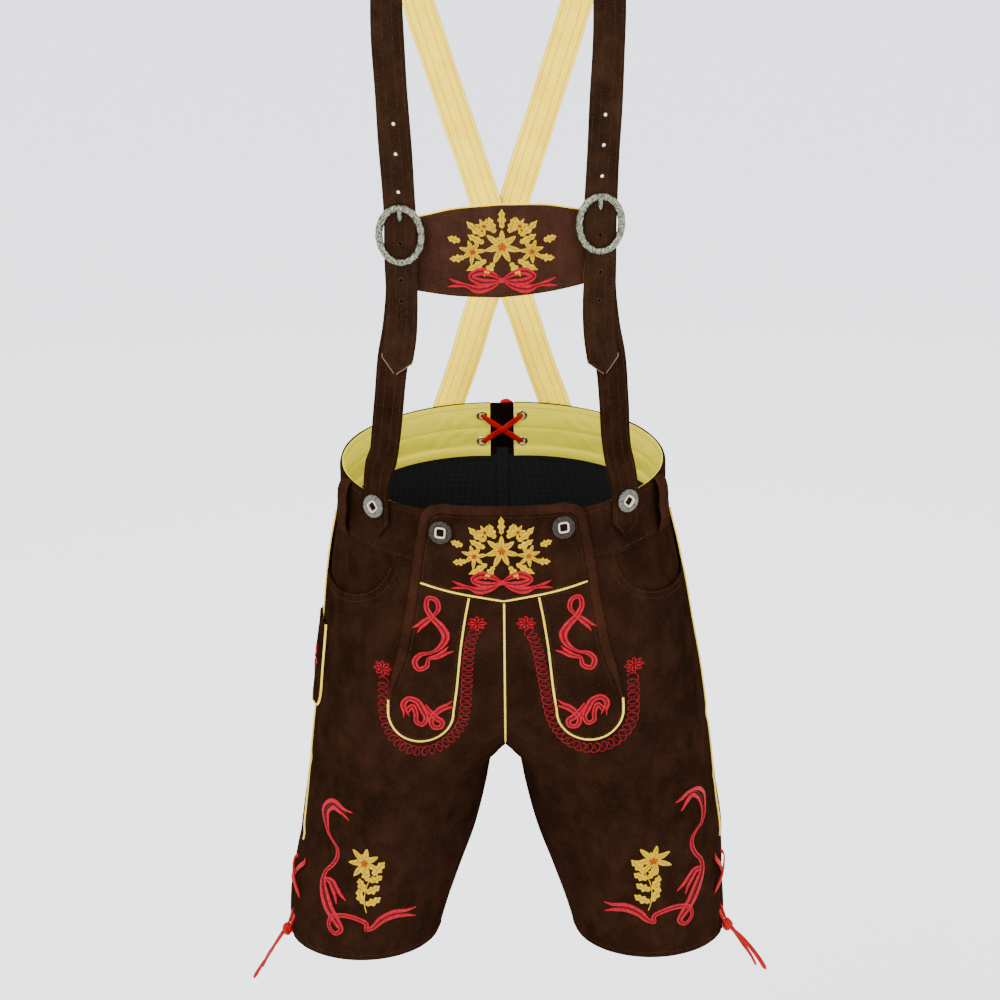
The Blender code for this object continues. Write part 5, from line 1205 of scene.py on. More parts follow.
def end_points(places, x_sign, out, back=False):
    """Points on the waistband with their lean, from (x, level) places."""
    point, normal = on_front(x_sign * places[:, 0], places[:, 1], out, back)
    return np.c_[point, normal[:, 0] / np.abs(normal[:, 1])]


def strap_frame(rows, count):
    """Even points along a strap, and the direction in which it faces."""
    line = smooth_line(rows, count)
    points, lean = line[:, :3], line[:, 3:]
    along = unit(np.gradient(points, axis=0))
    facing = unit(np.cross([1.0, 0.0, 0.0], along * [0, 1, 1]))
    return points, unit(facing + lean * [1.0, 0.0, 0.0])


def lower_rows(side):
    """From the waistband up to the chest, where the buckle holds the long strap."""
    table = LOWER_LINE.copy()
    table[:, 0] -= LOWER_SHIFT[side] * smooth_step(-table[:, 2], -0.165, -0.03)
    start = end_points(LOWER_END - [LOWER_SHIFT[side], 0], side, BAND_PROUD + 0.6 * MM)
    return np.concatenate([start, table_points(table, side)])


def brace_rows(side):
    """Over the lower strap, through the buckle, over the shoulder and down to the back."""
    points, facing = strap_frame(lower_rows(side), 200)
    sideways = unit(np.cross(np.gradient(points, axis=0), facing))
    sideways *= -np.sign(sideways[:, :1]) * side
    levels = np.linspace(TIP_RISE, 0.272, 7)
    near = np.abs(points[None, :, 2] - WAIST_Z - levels[:, None]).argmin(axis=1)
    free = smooth_step(-levels, -0.27, -TIP_RISE)[:, None]
    lie = points[near] + facing[near] * (STRAP_FACE + (0.6 + 0.8 * free) * MM)
    lie = lie + sideways[near] * TIP_SHIFT[side] * free
    hang = np.c_[lie, facing[near, 0] / np.abs(facing[near, 1])]
    end = end_points(BRACE_END, -side, BAND_PROUD + 1.0 * MM, back=True)
    return np.concatenate([hang, table_points(BRACE_LINE, side), end])


# %% Straps and their linings
def strap_stations(rows, bump, count):
    """The strap's line, facing, width and length from its tip, with close rows at the tip."""
    line, out = strap_frame(rows, 1500)
    if bump:            # one strap passes over the other where they cross behind
        middle = np.argmin(np.abs(line[:, 0]) + (line[:, 1] < 0))
        away = np.linalg.norm(line - line[middle], axis=1)
        line = line + out * (bump * np.exp(-(away / 0.098) ** 4))[:, None]
    far = arc_length(line)
    stations = np.concatenate([np.linspace(0, 0.018, 15)[:-1], np.linspace(0.018, far[-1], count)])
    pick = np.minimum(np.searchsorted(far, stations), len(far) - 1)
    width = np.interp(stations, np.array([0, 0.5, 1]) * TIP_LENGTH, [3.5 * MM, 18 * MM, STRAP_WIDTH])
    width = width + 0.5 * MM * np.sin(stations * 61 + bump * 900) * smooth_step(stations, 0.015, 0.05)
    return line[pick], out[pick], width, stations


def strap_pieces(key, rows, finish, bump=0.0, count=150):
    """The suede and the cream leather of one strap, each carried along its line."""
    line, out, width, far = strap_stations(rows, bump, count)
    lower = key.startswith("lower")
    narrow = width * 0.9 - 3.0 * MM * (1 - smooth_step(far, 0.01, 0.024)) if lower else width * 0.985
    flat = [(0.49, 0.0), (0.5, 0.3 * MM), (0.5, LINING), (-0.5, LINING), (-0.5, 0.3 * MM), (-0.49, 0.0)]
    top = rounded_profile(STRAP_LOW, STRAP_FACE + 0.2 * MM, 0.1)
    for cloth, profile, widths, material, slot, end in (
            ("suede_", top, width, finish, "strap_suede", ""),
            ("cream_", flat, np.maximum(narrow, 0.4 * MM), CREAM, "cream_leather", "_lining")):
        rings = strip_rings(line, out, profile, widths)
        piece = carried(f"{cloth}strap_{key}", rings, material, slot, f"strap_{key}{end}")
    print(f"strap_{key}: {far[-1] * 1000:.0f} mm long")
    return line, out, width, far


STRAPS = {}
for side, tag in SIDES:
    lower = strap_pieces("lower_" + tag, lower_rows(side), LEG_SUEDE, count=60)
    brace = strap_pieces(tag, brace_rows(side), BRACE_SUEDE, 4.2 * MM if side == 1 else 0.0)
    STRAPS["lower_" + tag], STRAPS["long_" + tag] = lower, brace
    button_z = on_front(side * LOWER_END[1, 0], STRAP_BUTTONS[side])[0][2]
    at_front = np.abs(lower[0][:, 2] - button_z).argmin()
    at_back = np.abs(brace[3] - brace[3][-1] + 11 * MM).argmin()
    for node, (line, out, _, _), at in (("strap_button_", lower, at_front), ("back_button_", brace, at_back)):
        horn_button(node + tag, line[at] + out[at] * (STRAP_FACE + 1.6 * MM), out[at],
                    math.pi / 4 + 0.05 * side, PALE_HORN)

# %% [markdown]
# ## The breast bar
# The bar joins the two front straps at the chest. It is suede outside and cream leather
# inside, bulges away from the chest, and a line pressed into the suede frames its face.

# %% Breast bar
# x, lower and upper edge above the waist, in mm
BAR_EDGES = MM * np.array([(0, 232, 325.5), (40, 234.5, 323.3), (78, 240, 315.5), (88, 242, 313.5)])
BAR_HALF = 0.088
BAR_TILT = 0.035                 # the bar rises this much towards the wearer's left, per metre


def bar_edges(x):
    """The bar's lower edge and its height at x."""
    low, high = smooth_columns(BAR_EDGES, np.abs(x))
    return low, high - low


def bar_point(x, share, out=0.0):
    """A point of the bar's face: x across, share from its lower edge to its upper one."""
    low, height = bar_edges(x)
    rise = low + height * share + BAR_TILT * x
    rest = np.interp(rise, [0.205, 0.255, 0.28, 0.315], [-0.1148, -0.12, -0.1216, -0.1226])
    bulge = 9.0 * MM * (1 - (x / BAR_HALF) ** 2)
    ripple = 0.5 * MM * np.sin(x * 90 + share * 2) * np.sin(share * math.pi)
    return np.stack([x + 0 * share, rest - 0.2 * MM - bulge - ripple - out, WAIST_Z + rise], -1)


x, share = np.linspace(-BAR_HALF, BAR_HALF, 110), np.linspace(0, 1, 60)[:, None]
inset = np.minimum(share, 1 - share) * bar_edges(x)[1]
pressed = hump(inset, 9 * MM, 1.1 * MM) * smooth_step(BAR_HALF - np.abs(x), 0.004, 0.007)
face = bar_point(x, share, MM * (-0.55 * pressed - 0.7 * hump(inset, 0, 1.2 * MM)))
plain = bar_point(x, share)
cut_piece("suede_breast_bar", face, plain + [0, STRAP_SUEDE, 0], BAR_SUEDE, "strap_suede", "breast_bar",
          held="stretched", rests_on=["suede_strap_lower_L", "suede_strap_lower_R"], plain=plain)
behind = bar_point(x, share * 1.016) + [0, STRAP_SUEDE + SEAM_GAP, 0]
cut_piece("cream_breast_bar", behind, behind + [0, LINING, 0], CREAM, "cream_leather",
          "breast_bar_lining", held="stretched")

# %% [markdown]
# ## Buckles
# The buckle is a cast oval wreath: leaves lie in two rows, each row slanting away from the
# middle line, with a string of beads along the inner rim. The relief is a height added to
# the swept ring: |sin| of (leaves round the ring + slant across it). A prong hinges at the
# foot and its tip rests in a notch at the top.

# %% The wreath's relief, the same on both buckles
BUCKLE_RISES = {1: 0.306, -1: 0.2965}
BUCKLE_WIDTH, BUCKLE_HEIGHT, BUCKLE_BAND, BUCKLE_THICK = 0.0485, 0.062, 7.2 * MM, 4.0 * MM
half_w, half_h = (BUCKLE_WIDTH - BUCKLE_BAND) / 2, (BUCKLE_HEIGHT - BUCKLE_BAND) / 2
turn = np.linspace(0, 2 * np.pi, 336, endpoint=False)[:, None]
v = np.concatenate([np.linspace(-0.5, 0.5, 21), [0.46, 0.0, -0.46]])[None, :]
arch = np.concatenate([np.sqrt(1 - np.linspace(-0.97, 0.97, 21) ** 2) * 0.78 + 0.02, np.zeros(3)])
phase = np.abs((turn + 3 * np.pi / 2) % (2 * np.pi) - np.pi)
leaf = np.abs(np.sin(phase * 9 - 2.4 * np.abs(v))) ** 0.8 * np.exp(-(np.abs(v) / 0.36) ** 4)
beads = hump(v, -0.4, 0.09) * np.abs(np.sin(turn * 30)) ** 0.6
relief = MM * (0.9 * leaf - 0.35 * hump(v, 0, 0.045) + 0.5 * beads)
raised = arch * BUCKLE_THICK * 0.95 + relief * (arch > 0.1)
round_ring = np.stack([np.cos(turn[:, 0]), np.sin(turn[:, 0])], -1)
radial = unit(round_ring / [half_w, half_h])
spread = v * BUCKLE_BAND * (1 + 0.05 * np.sin(phase * 18))
oval = (round_ring * [half_w, half_h])[:, None] + radial[:, None] * spread[..., None]
tip = half_h / MM - BUCKLE_BAND / MM / 2
prong = MM * smooth_line([(tip - 9.5, 1.2, 1.6), (tip - 8.8, 2.6, 2.0), (tip - 7, 4.6, 2.4),
                          (tip - 2, 5.4, 2.9), (tip + 2, 5.6, 3.4)], 24)
print("relief", raised.shape, "prong", prong.shape)

# %% Buckles
for side, tag in SIDES:
    line, out = STRAPS["long_" + tag][:2]
    height = WAIST_Z + BUCKLE_RISES[side]
    near = np.argmin(np.where(line[:, 1] < 0, np.abs(line[:, 2] - height), 1.0))
    normal = out[near]
    up = unit(np.cross(normal, [1.0, 0.0, 0.0]))
    up = up if up[2] > 0 else -up
    centre = line[near] + normal * (STRAP_FACE + 0.4 * MM)
    centre = centre + up * (height - centre[2])
    rings = centre + oval @ [np.cross(up, normal), up] + raised[..., None] * normal
    carried("cast_buckle_" + tag, rings, SILVER, "old_silver", "buckle_" + tag, closed=True, sharp=70)
    middle = centre + prong[:, :1] * up + 0.3 * MM * normal
    rings = strip_rings(middle, np.tile(normal, (24, 1)), domed_profile(0.0, 2.6 * MM, 10), prong[:, 1])
    carried("cast_prong_" + tag, rings, SILVER, "old_silver")

# %% [markdown]
# ## Stitches
# A seam is a row of short strokes of thread. Each stroke is a low arch, narrow where it dives
# into the leather; all strokes of a seam are computed at once and put in one object. The
# stitches are 2.4 mm long at a pitch of 3.3 mm, and about 0.75 mm wide.

# %% The builder of strokes, and seams
# across and up over a stroke; share of the way, width and height along it
ARCH = np.array([(-0.5, 0.0), (-0.36, 0.72), (0.0, 1.0), (0.36, 0.72), (0.5, 0.0)])
RISE = np.array([(0.0, 0.45, 0.0), (0.26, 1.0, 0.95), (0.74, 1.0, 0.95), (1.0, 0.45, 0.0)])


def lay_strokes(name, starts, ends, normals, width, height, material, slot):
    """Point = start + share of the way + across * width * swell + normal * height * rise."""
    way = starts[:, None] + (ends - starts)[:, None] * RISE[:, :1]
    across = unit(np.cross(ends - starts, normals))[:, None, None]
    points = (way[:, :, None] + across * (ARCH[:, 0] * RISE[:, 1:2])[..., None] * width
              + normals[:, None, None] * (ARCH[:, 1] * RISE[:, 2:])[..., None] * height)
    rows, cols = len(RISE), len(ARCH)
    first = np.arange(len(points))[:, None, None] * rows * cols
    quads = (grid_quads(rows, cols)[None] + first).reshape(-1, 4)
    along = np.linalg.norm(ends - starts, axis=-1)[:, None, None] * RISE[:, :1]
    uv = np.stack(arrays(ARCH[:, 0] * width, along), -1)
    print(f"{name}: {len(points)} strokes")
    dress(add_mesh(name, points, quads, uv, material, 80), slot)


def read_line(far, columns, at):
    """Each column of a line, read at distances along it."""
    return np.stack([np.interp(at, far, column) for column in columns.T], -1)


def seam(name, lines, material, slot, width=0.75 * MM, height=0.42 * MM, pitch=3.3 * MM, length=2.4 * MM):
    """Stitches along lines given as (points, normals)."""
    strokes = []
    for points, normals in lines:
        far = arc_length(points)
        first = np.arange(0.4 * pitch, far[-1] - length, pitch)
        strokes.append((read_line(far, points, first), read_line(far, points, first + length),
                        unit(read_line(far, normals, first))))
    lay_strokes(name, *(np.concatenate(part) for part in zip(*strokes)), width, height, material, slot)


def waist_line(side, half, level, lift):
    """A line round the waistband at one level."""
    return on_leg(side, waist_grid(level, half, 120)[0], level, lift)


# %% Seams of the legs and the waistband
lines, loop_lines = [], []
for side, tag in SIDES:
    for half, sign in (("front", 1), ("back", -1)):
        lines += [waist_line(side, half, level, BAND_PROUD - 0.1 * MM)
                  for level in (BAND_TOP - 5.5 * MM, BAND_SEAM + 4.6 * MM)]
        top = POCKET_LOW if half == "front" else BAND_SEAM
        levels = np.linspace(top - 0.004, SLIT_TOP + 0.002, 200)
        lines.append(on_leg(side, outseam(levels) + sign * 0.03, levels, 0.1 * MM))
        hem = angles_across(HEM + 6 * MM, np.linspace(0.012, 0.97, 200), half == "back",
                            sign * outseam(HEM), angle_limit(HEM))[0]
        lines.append(on_leg(side, hem, HEM + 6 * MM, 0.2 * MM))
    levels = np.linspace(SLIT_TOP, HEM + 6 * MM, 60)
    lines += [on_leg(side, outseam(levels) + off, levels, 0.1 * MM) for off in (0.062, -0.062)]
    share = np.linspace(0.001, 0.999, 160)
    level = BAND_SEAM - SEAM_GAP - (BAND_SEAM - POCKET_LOW) * (1 - share ** 3) ** (1 / 3)
    mouth = smooth_line(np.stack([POCKET_ANGLE * share * STITCH_ARC, level], -1), 160)
    for off, lift in ((1.9 * MM, 0.45 * MM), (9.0 * MM, -0.1 * MM)):
        path = mouth - beside(mouth) * off
        path = path[(path[:, 1] < BAND_SEAM - 0.001) & (path[:, 0] > 0.003)]
        lines.append(on_leg(side, path[:, 0] / STITCH_ARC, path[:, 1], lift))
    for x, low in ((0.0036, CROTCH + 0.006), (0.0068, CROTCH + 0.02)):
        lines.append(on_front(side * x, np.linspace(BAND_SEAM - 0.003, low, 160), 0.1 * MM, back=True))
    part = np.linspace(0.03, 0.97, 60)
    levels, off = BAND_TOP + (BAND_SEAM - BAND_TOP) * part, BAND_PROUD + loop_off(part) + 2.5 * MM
    loop_lines += [on_leg(side, LOOP_ANGLE + across / LOOP_ARC, levels, off) for across in (-0.0062, 0.0062)]
seam("stitched_seams_of_the_legs", lines, BROWN_THREAD, "suede")

# %% Seams of the flap and the belt loops
lines = loop_lines
x = np.linspace(-0.08, 0.08, 160)
for off, start in ((-3.4 * MM, 0.0365), (3.6 * MM, 0.0)):
    level = yoke_level(np.sqrt(x ** 2 + 0.003 ** 2)) + off
    lift = (flap_top_lift(x, level) if off > 0 else flap_lift(level) + SUEDE) - 0.05 * MM
    for part in ((x < -start), (x > start)):
        lines.append(on_front(x[part], level[part], lift[part]))
levels = np.linspace(float(yoke_level(0.045)) - 0.006, U_CENTRE[1], 120)
inner = np.stack([panel_line(levels) + 3.3 * MM, levels], -1)
panel = np.concatenate([inner, circle(U_CENTRE, U_RADIUS - 3.3 * MM, 182, 352, 90)])
run = binding_line(200)
run = run[run[:, 1] > -0.185]
run = run + beside(run) * (BINDING_WIDTH / 2 + 1.6 * MM)
run = run[np.abs(run[:, 1] - yoke_level(run[:, 0])) > 0.004]
for side, tag in SIDES:
    for path, lift in ((panel, flap_lift(panel[:, 1]) + SUEDE), (run, flap_top_lift(*run.T))):
        lines.append(on_front(side * path[:, 0], path[:, 1], lift - 0.05 * MM))
seam("stitched_seams_of_the_flap", lines, BROWN_THREAD, "suede")

# %% [markdown]
# Inside, three rows hold the facing: one below its top, one along its middle and one in its
# binding. Four rows run the length of each strap, through suede and cream leather, and a
# fifth follows the pointed end. The same rows show on the inside, in sand thread.

# %% Seams of the facing
lines = []
for side, tag in SIDES:
    for half in ("front", "back"):
        for level, depth in ((-0.004, 0.8 * MM), (0.0185, 1.0 * MM), (-0.035, 3.9 * MM)):
            points, normals = waist_line(side, half, level, BAND_PROUD - BAND - SEAM_GAP - depth)
            lines.append((points, -normals))
seam("stitched_seams_of_the_facing", lines, PALE_THREAD, "facing_cloth", 0.7 * MM, 0.3 * MM)

# %% Seams of the braces
outside, inside = [], []
for line, out, width, far in STRAPS.values():
    across = unit(np.cross(unit(np.gradient(line, axis=0)), out))
    face = line + out * (STRAP_FACE + 0.15 * MM)
    for off in (-12.4, -5.2, 5.2, 12.4):
        keep = far > (0.012 if abs(off) < 6 else 0.0175)
        outside.append(((face + across * off * MM)[keep], out[keep]))
        inside.append(((line + across * off * MM - out * 0.02 * MM)[keep], -out[keep]))
    tip = (far > 0.0035) & (far < 0.0185)
    for sign in (-1, 1):
        points = face + across * (sign * np.maximum(width / 2 - 3.4 * MM, 0.2 * MM))[:, None]
        outside.append((points[tip], out[tip]))
seam("stitched_seams_of_the_braces", outside, BROWN_THREAD, "strap_suede", 0.7 * MM, 0.32 * MM)
seam("stitched_seams_of_the_strap_linings", inside, PALE_THREAD, "cream_leather", 0.7 * MM, 0.28 * MM)

# %% Seams of the breast bar
lines = []
for inset, reach, lift in ((2.6 * MM, 0.0835, 0.05 * MM), (9 * MM, 0.0775, -0.5 * MM)):
    x = np.linspace(-0.0835, 0.0835, 200)
    x = x[np.abs(x) <= reach]
    for share in (inset / bar_edges(x)[1], 1 - inset / bar_edges(x)[1]):
        points = bar_point(x, share, lift)
        lines.append((points, np.tile([0.0, -1.0, 0.0], (len(points), 1))))
seam("stitched_seams_of_the_bar", lines, BROWN_THREAD, "strap_suede", 0.7 * MM, 0.32 * MM)

# %% [markdown]
# ## Embroidery
# Every motif is drawn flat, in metres, as a list of strips: a line of points and a width at
# each point. A petal is a strip whose width follows a sine; an oak leaf's width also waves; a
# ribbon is two satin edges with a darker band between. A canvas then lays the strips on the
# garment, as low arches of thread.

# %% Strips of satin stitch
def sew(name, strips, canvas, material, slot="suede", height=0.7 * MM):
    """Put (line, widths, lift) strips on a canvas, as one object of low arches."""
    points, quads, uv, first = [], [], [], 0
    for line, widths, lift in strips:
        centre, normal = canvas(line[:, 0], line[:, 1], lift)
        rings = strip_rings(centre, normal, ARCH * [1, height], widths)
        across = ARCH[:, 0] * np.broadcast_to(widths, (len(line),))[:, None]
        points.append(rings.reshape(-1, 3))
        quads.append(grid_quads(len(line), len(ARCH)) + first)
        uv.append(np.stack(arrays(across, arc_length(centre)[:, None]), -1).reshape(-1, 2))
        first += len(points[-1])
    piece = add_mesh(name, np.concatenate(points), np.concatenate(quads), np.concatenate(uv), material, 80)
    dress(piece, slot)


def flap_area(x, level):
    """True on the two side panels, inside their piping."""
    foot = np.hypot(np.abs(x) - U_CENTRE[0], level - U_CENTRE[1]) < U_RADIUS
    beside_lap = (np.abs(x) > panel_line(level)) & (np.abs(x) < flap_edge(level))
    return np.where(level > U_CENTRE[1], beside_lap, foot)


def on_lap(x, level, lift):
    """The canvas of the flap's yoke, of its side panels and of the legs' fronts."""
    base = np.where(level > yoke_level(x), flap_top_lift(x, level),
                    np.where(flap_area(x, level), flap_lift(level) + SUEDE, 0.0))
    return on_front(x, level, base + lift)


def on_bar(x, rise, lift):
    """The canvas of the breast bar; rise is measured above the waist."""
    low, height = bar_edges(x)
    points = bar_point(x, (rise - BAR_TILT * x - low) / height, lift)
    return points, np.broadcast_to([0.0, -1.0, 0.0], points.shape)


# %% Petals, leaves and flowers
def heading(degrees):
    """The flat direction at an angle."""
    return np.array([math.cos(math.radians(degrees)), math.sin(math.radians(degrees))])


def blade(place, turn, length, width, bend=0.0, lobes=0, count=15):
    """A petal or a leaf: a bent line whose width is sin(pi t^0.85)^0.7, waved by its lobes."""
    t = np.linspace(0, 1, count)
    angle = math.radians(turn) + bend * (t - 0.3)
    line = place + np.cumsum(np.stack([np.cos(angle), np.sin(angle)], -1), axis=0) * length / (count - 1)
    widths = width * (0.12 + np.sin(np.pi * t ** 0.85) ** 0.7) * (1 + 0.26 * np.sin(2 * np.pi * lobes * t))
    return line, widths, 0.15 * MM


def edelweiss(place, radius, turn=0.0):
    """Long and short woolly petals in turn, and small discs in the middle."""
    petals = [blade(place, turn + 360 / 7 * k, radius * (1.0 if k % 2 else 0.9), radius * 0.3)
              for k in range(7)]
    for k in range(6):
        line, widths, _ = blade(place, turn + 26 + 60 * k, radius * 0.58, radius * 0.22)
        petals.append((line, widths, 0.6 * MM))
    t = np.linspace(-1, 1, 7)
    discs = []
    for k in range(6):
        centre = place + (0.0 if k == 5 else radius * 0.155) * heading(72 * k + 15)
        widths = radius * 0.17 * np.sqrt(1.04 - t ** 2)
        discs.append((centre + np.c_[t * radius * 0.08, 0 * t], widths, 1.1 * MM))
    return petals, discs


def spray(place, turn, length, leaves, size):
    """A bent stem with oak leaves in pairs and one at its end."""
    line = blade(place, turn, length, 0, bend=0.9, count=24)[0]
    parts = [(line, np.full(24, 1.1 * MM), 0.1 * MM)]
    for k in range(leaves):
        at = line[int((0.22 + 0.62 * k / (leaves - 1)) * 23)]
        for sign in (-1, 1):
            parts.append(blade(at, turn + 25 + sign * 48, 12.5 * MM * size * (1 - 0.08 * k), 4.8 * MM * size,
                               -0.5 * sign, 3, 19))
    return parts + [blade(line[-1], turn + 42, 13.5 * MM * size, 5.2 * MM * size, 0.2, 3, 19)]


def veins(strips):
    """A thin dark line along the middle of each leaf and petal that is wide enough."""
    return [(line[3:-3], np.full(len(line) - 6, 0.55 * MM), lift + 0.5 * MM)
            for line, widths, lift in strips if np.max(widths) > 3.0 * MM]


# %% Ribbons
def ribbon(stops, fork=(True, True), count=150):
    """From (x, y, half width) stops: two satin edges with swallow tails, and a darker strand."""
    path = smooth_line(stops, count)
    line, half = path[:, :2], path[:, 2:] * 1.12
    step, side = unit(np.gradient(line, axis=0)), beside(line) * half
    wide = np.maximum(0.84 * half[:, 0], 1.4 * MM)
    edges = [(line + side * s * 0.62, wide, (0.25 + 0.1 * s) * MM) for s in (-1, 1)]
    for at in [end for end, forked in zip((0, -1), fork) if forked]:
        reach = step[at] * (1 if at else -1) * half[at]
        for s in (-1, 1):
            notch, tip = line[at] + side[at] * s * 0.62, line[at] + side[at] * s * 1.15 + reach * 1.8
            edges.append((np.linspace(notch, tip, 8), wide[at] * np.linspace(1.0, 0.3, 8), 0.3 * MM))
    band = np.clip(0.5 * half[3:-3, 0], 0.6 * MM, 1.6 * MM)
    return edges, [(line[3:-3], band, 0.05 * MM)]


# %% [markdown]
# ## Bouquets in gold
# The middle of the flap and of the bar carries a bouquet: edelweiss and oak leaves fanned out
# above a red bow. Each leg has a single flower on a stem of oak leaves.

# %% Bouquets; places and sizes are shares of the middle flower's radius
BOUQUET_FLOWERS = [    # x, y, radius, first petal's angle
    (0, 0.25, 1.0, 90), (1.62, -0.05, 0.72, 70), (-1.62, -0.05, 0.72, 110), (0.98, 1.42, 0.5, 60),
    (-0.98, 1.42, 0.5, 120)]
BOUQUET_LEAVES = [     # angle above the horizontal, how far out it starts, length; on both sides
    (68, 0.98, 0.95), (38, 1.2, 1.25), (22, 1.0, 1.0), (12, 2.3, 0.72), (-12, 2.1, 0.8),
    (-34, 1.00, 1.25), (-58, 0.85, 0.95)]
BOW_LOOP = [(0.06, -1.62, 0.05), (0.6, -1.3, 0.15), (1.35, -1.2, 0.2), (1.75, -1.48, 0.12),
            (1.3, -1.76, 0.19), (0.6, -1.8, 0.15), (0.06, -1.7, 0.05)]
BOW_TAIL = [(0.1, -1.74, 0.06), (0.7, -2.1, 0.16), (1.4, -2.22, 0.21), (2.0, -2.0, 0.1),
            (2.6, -1.9, 0.19)]


def bouquet(place, size):
    """A fan of leaves and flowers over a bow: gold, orange, red and dark red strips."""
    gold, orange, edges, bands = [], [], [], []
    for x, y, radius, turn in BOUQUET_FLOWERS:
        petals, eyes = edelweiss(place + np.array([x, y]) * size, radius * size, turn)
        gold, orange = gold + petals, orange + eyes
    mirrored = [(180 - turn, start, reach) for turn, start, reach in BOUQUET_LEAVES]
    for turn, start, reach in [(90, 1.15, 1.1)] + BOUQUET_LEAVES + mirrored:
        foot = place + (heading(turn) * start + [0, 0.1]) * size
        gold.append(blade(foot, turn, reach * size, 0.34 * size, 0.35 * heading(turn)[0], 3, 21))
    for side in (1, -1):
        for bow, forked in ((BOW_LOOP, False), (BOW_TAIL, True)):
            edge, band = ribbon(np.array(bow) * [side, 1, 1] * size + [*place, 0], (False, forked), 70)
            edges, bands = edges + edge, bands + band
    knot = place + np.array([(-0.13, -1.69), (0.13, -1.69)]) * size
    edges.append((np.linspace(*knot, 9), np.full(9, 0.3 * size), 0.6 * MM))
    return gold, orange, edges, bands


def sew_gold(gold, orange, canvas, slot, ending=""):
    """Petals and leaves, their veins, and the flowers' eyes."""
    sew("gold_embroidery" + ending, gold, canvas, GOLD_THREAD, slot)
    sew("amber_veins" + ending, veins(gold), canvas, AMBER_THREAD, slot, 0.35 * MM)
    sew("orange_embroidery" + ending, orange, canvas, ORANGE_THREAD, slot, 0.9 * MM)


gold, orange, red, deep = bouquet(np.array([-0.002, -0.0165]), 0.0168)
for side, tag in SIDES:
    flower, eyes = edelweiss(np.array([side * 0.1515 - 0.001, -0.396]), 0.0185, 80)
    leaves = [(line * [side, 1], widths, lift)
              for line, widths, lift in spray(np.array([0.148, -0.457]), 86, 0.047, 3, 1.5)]
    gold, orange = gold + flower + leaves, orange + eyes
sew_gold(gold, orange, on_lap, "suede")
gold, orange, bow, bow_bands = bouquet(np.array([0.0015, 0.28]), 0.0176)
sew_gold(gold, orange, on_bar, "strap_suede", "_on_the_bar")
sew("red_bow_on_the_bar", bow, on_bar, RED_THREAD, "strap_suede")
sew("deep_bow_on_the_bar", bow_bands, on_bar, DEEP_THREAD, "strap_suede", 0.4 * MM)

# %% Red ribbons on the flap's sides and the legs: x, level and half width in mm
UPPER_RIBBON = [
    (86.3, -102, 3.2), (78.2, -92.9, 3), (71.5, -86.2, 1.6), (65.8, -75.7, 2.2), (69, -65.8, 2.2),
    (75.1, -64.8, 2.2), (78, -74.4, 2.4), (72.7, -87.7, 2.8), (64, -99.4, 3.5), (59.3, -112.4, 3.6),
    (64, -126.7, 2.8), (74.1, -135.8, 1.6), (85.3, -139.7, 2.4), (91, -150.4, 2.6), (87, -159, 2.6),
    (79.6, -155.6, 2.4), (76.5, -144.6, 1.8), (68, -141.3, 3), (59.5, -135, 3.4)]
LOWER_RIBBON = [
    (101.5, -212.3, 2.4), (103.4, -202.3, 2.7), (98, -196.5, 2.6), (90.4, -198.7, 2.8),
    (84, -209.6, 3), (80.9, -219.6, 2.4), (85.3, -226.3, 2.2), (90.4, -223.3, 2.2),
    (91.1, -213.2, 2.2), (94.6, -204.8, 2.4), (98.6, -208.7, 2.4)]
INNER_RIBBON = [
    (82.3, -203.2, 1.6), (76.8, -211.4, 2.4), (70.9, -218.7, 3), (64.6, -224.2, 2.6),
    (66.3, -229.6, 2.4), (72.6, -230, 2.4), (76, -223.3, 2.4), (72.6, -215.1, 2.6),
    (65.8, -208.7, 3.1), (57.2, -204.6, 3)]
LEG_RIBBON = [
    (176.5, -341, 4.6), (187, -336.5, 5), (194.5, -344.5, 4.2), (196.5, -358, 3), (193.5, -371, 1.6),
    (187.5, -378.5, 1), (183.5, -384.5, 1.6), (183, -393, 2), (187, -403.5, 2), (194.5, -414.5, 1.8),
    (197, -426, 2.6), (194.5, -440.5, 4.6), (188.5, -457, 5), (181, -470, 4), (176.5, -479.5, 2.4),
    (182.5, -484, 2), (189.5, -476.5, 1.8), (186.5, -465.5, 2), (173.5, -461, 2.6), (159, -463.5, 2.6),
    (148.5, -470.5, 2.2), (149.5, -476.5, 1.8), (143.5, -474.5, 2.4), (132.5, -464.5, 4),
    (119, -459, 4.8), (106, -460, 4.4)]
LEG_PENNANT = [(196, -424.5, 1.6), (189.5, -424, 3.4), (184, -432, 4.2), (180.5, -438, 4.4)]
BOTH, LAST = (True, True), (False, True)        # which ends are forked
for side, tag in SIDES:
    shift = 6 if side > 0 else 0
    for stops, fork, moved, count in ((UPPER_RIBBON, BOTH, 0, 150), (LOWER_RIBBON, BOTH, 0, 150),
                                      (INNER_RIBBON, LAST, 0, 150), (LEG_RIBBON, BOTH, shift, 220),
                                      (LEG_PENNANT, LAST, shift, 50)):
        edges, band = ribbon(MM * (np.array(stops) + [moved, moved, 0]) * [side, 1, 1], fork, count)
        red, deep = red + edges, deep + band
sew("red_ribbons", red, on_lap, RED_THREAD)
sew("deep_red_ribbons", deep, on_lap, DEEP_THREAD, height=0.4 * MM)

# %% [markdown]
# ## The chain border
# Round each side panel runs a chain in fine thread, the old cord pattern: two strands, each a
# trochoid (a circle that rolls along the line), with a flower of eight outlined petals at both
# ends. The petals follow the rose curve, radius * (0.1 + 0.9 |cos(4 a)|^0.62).

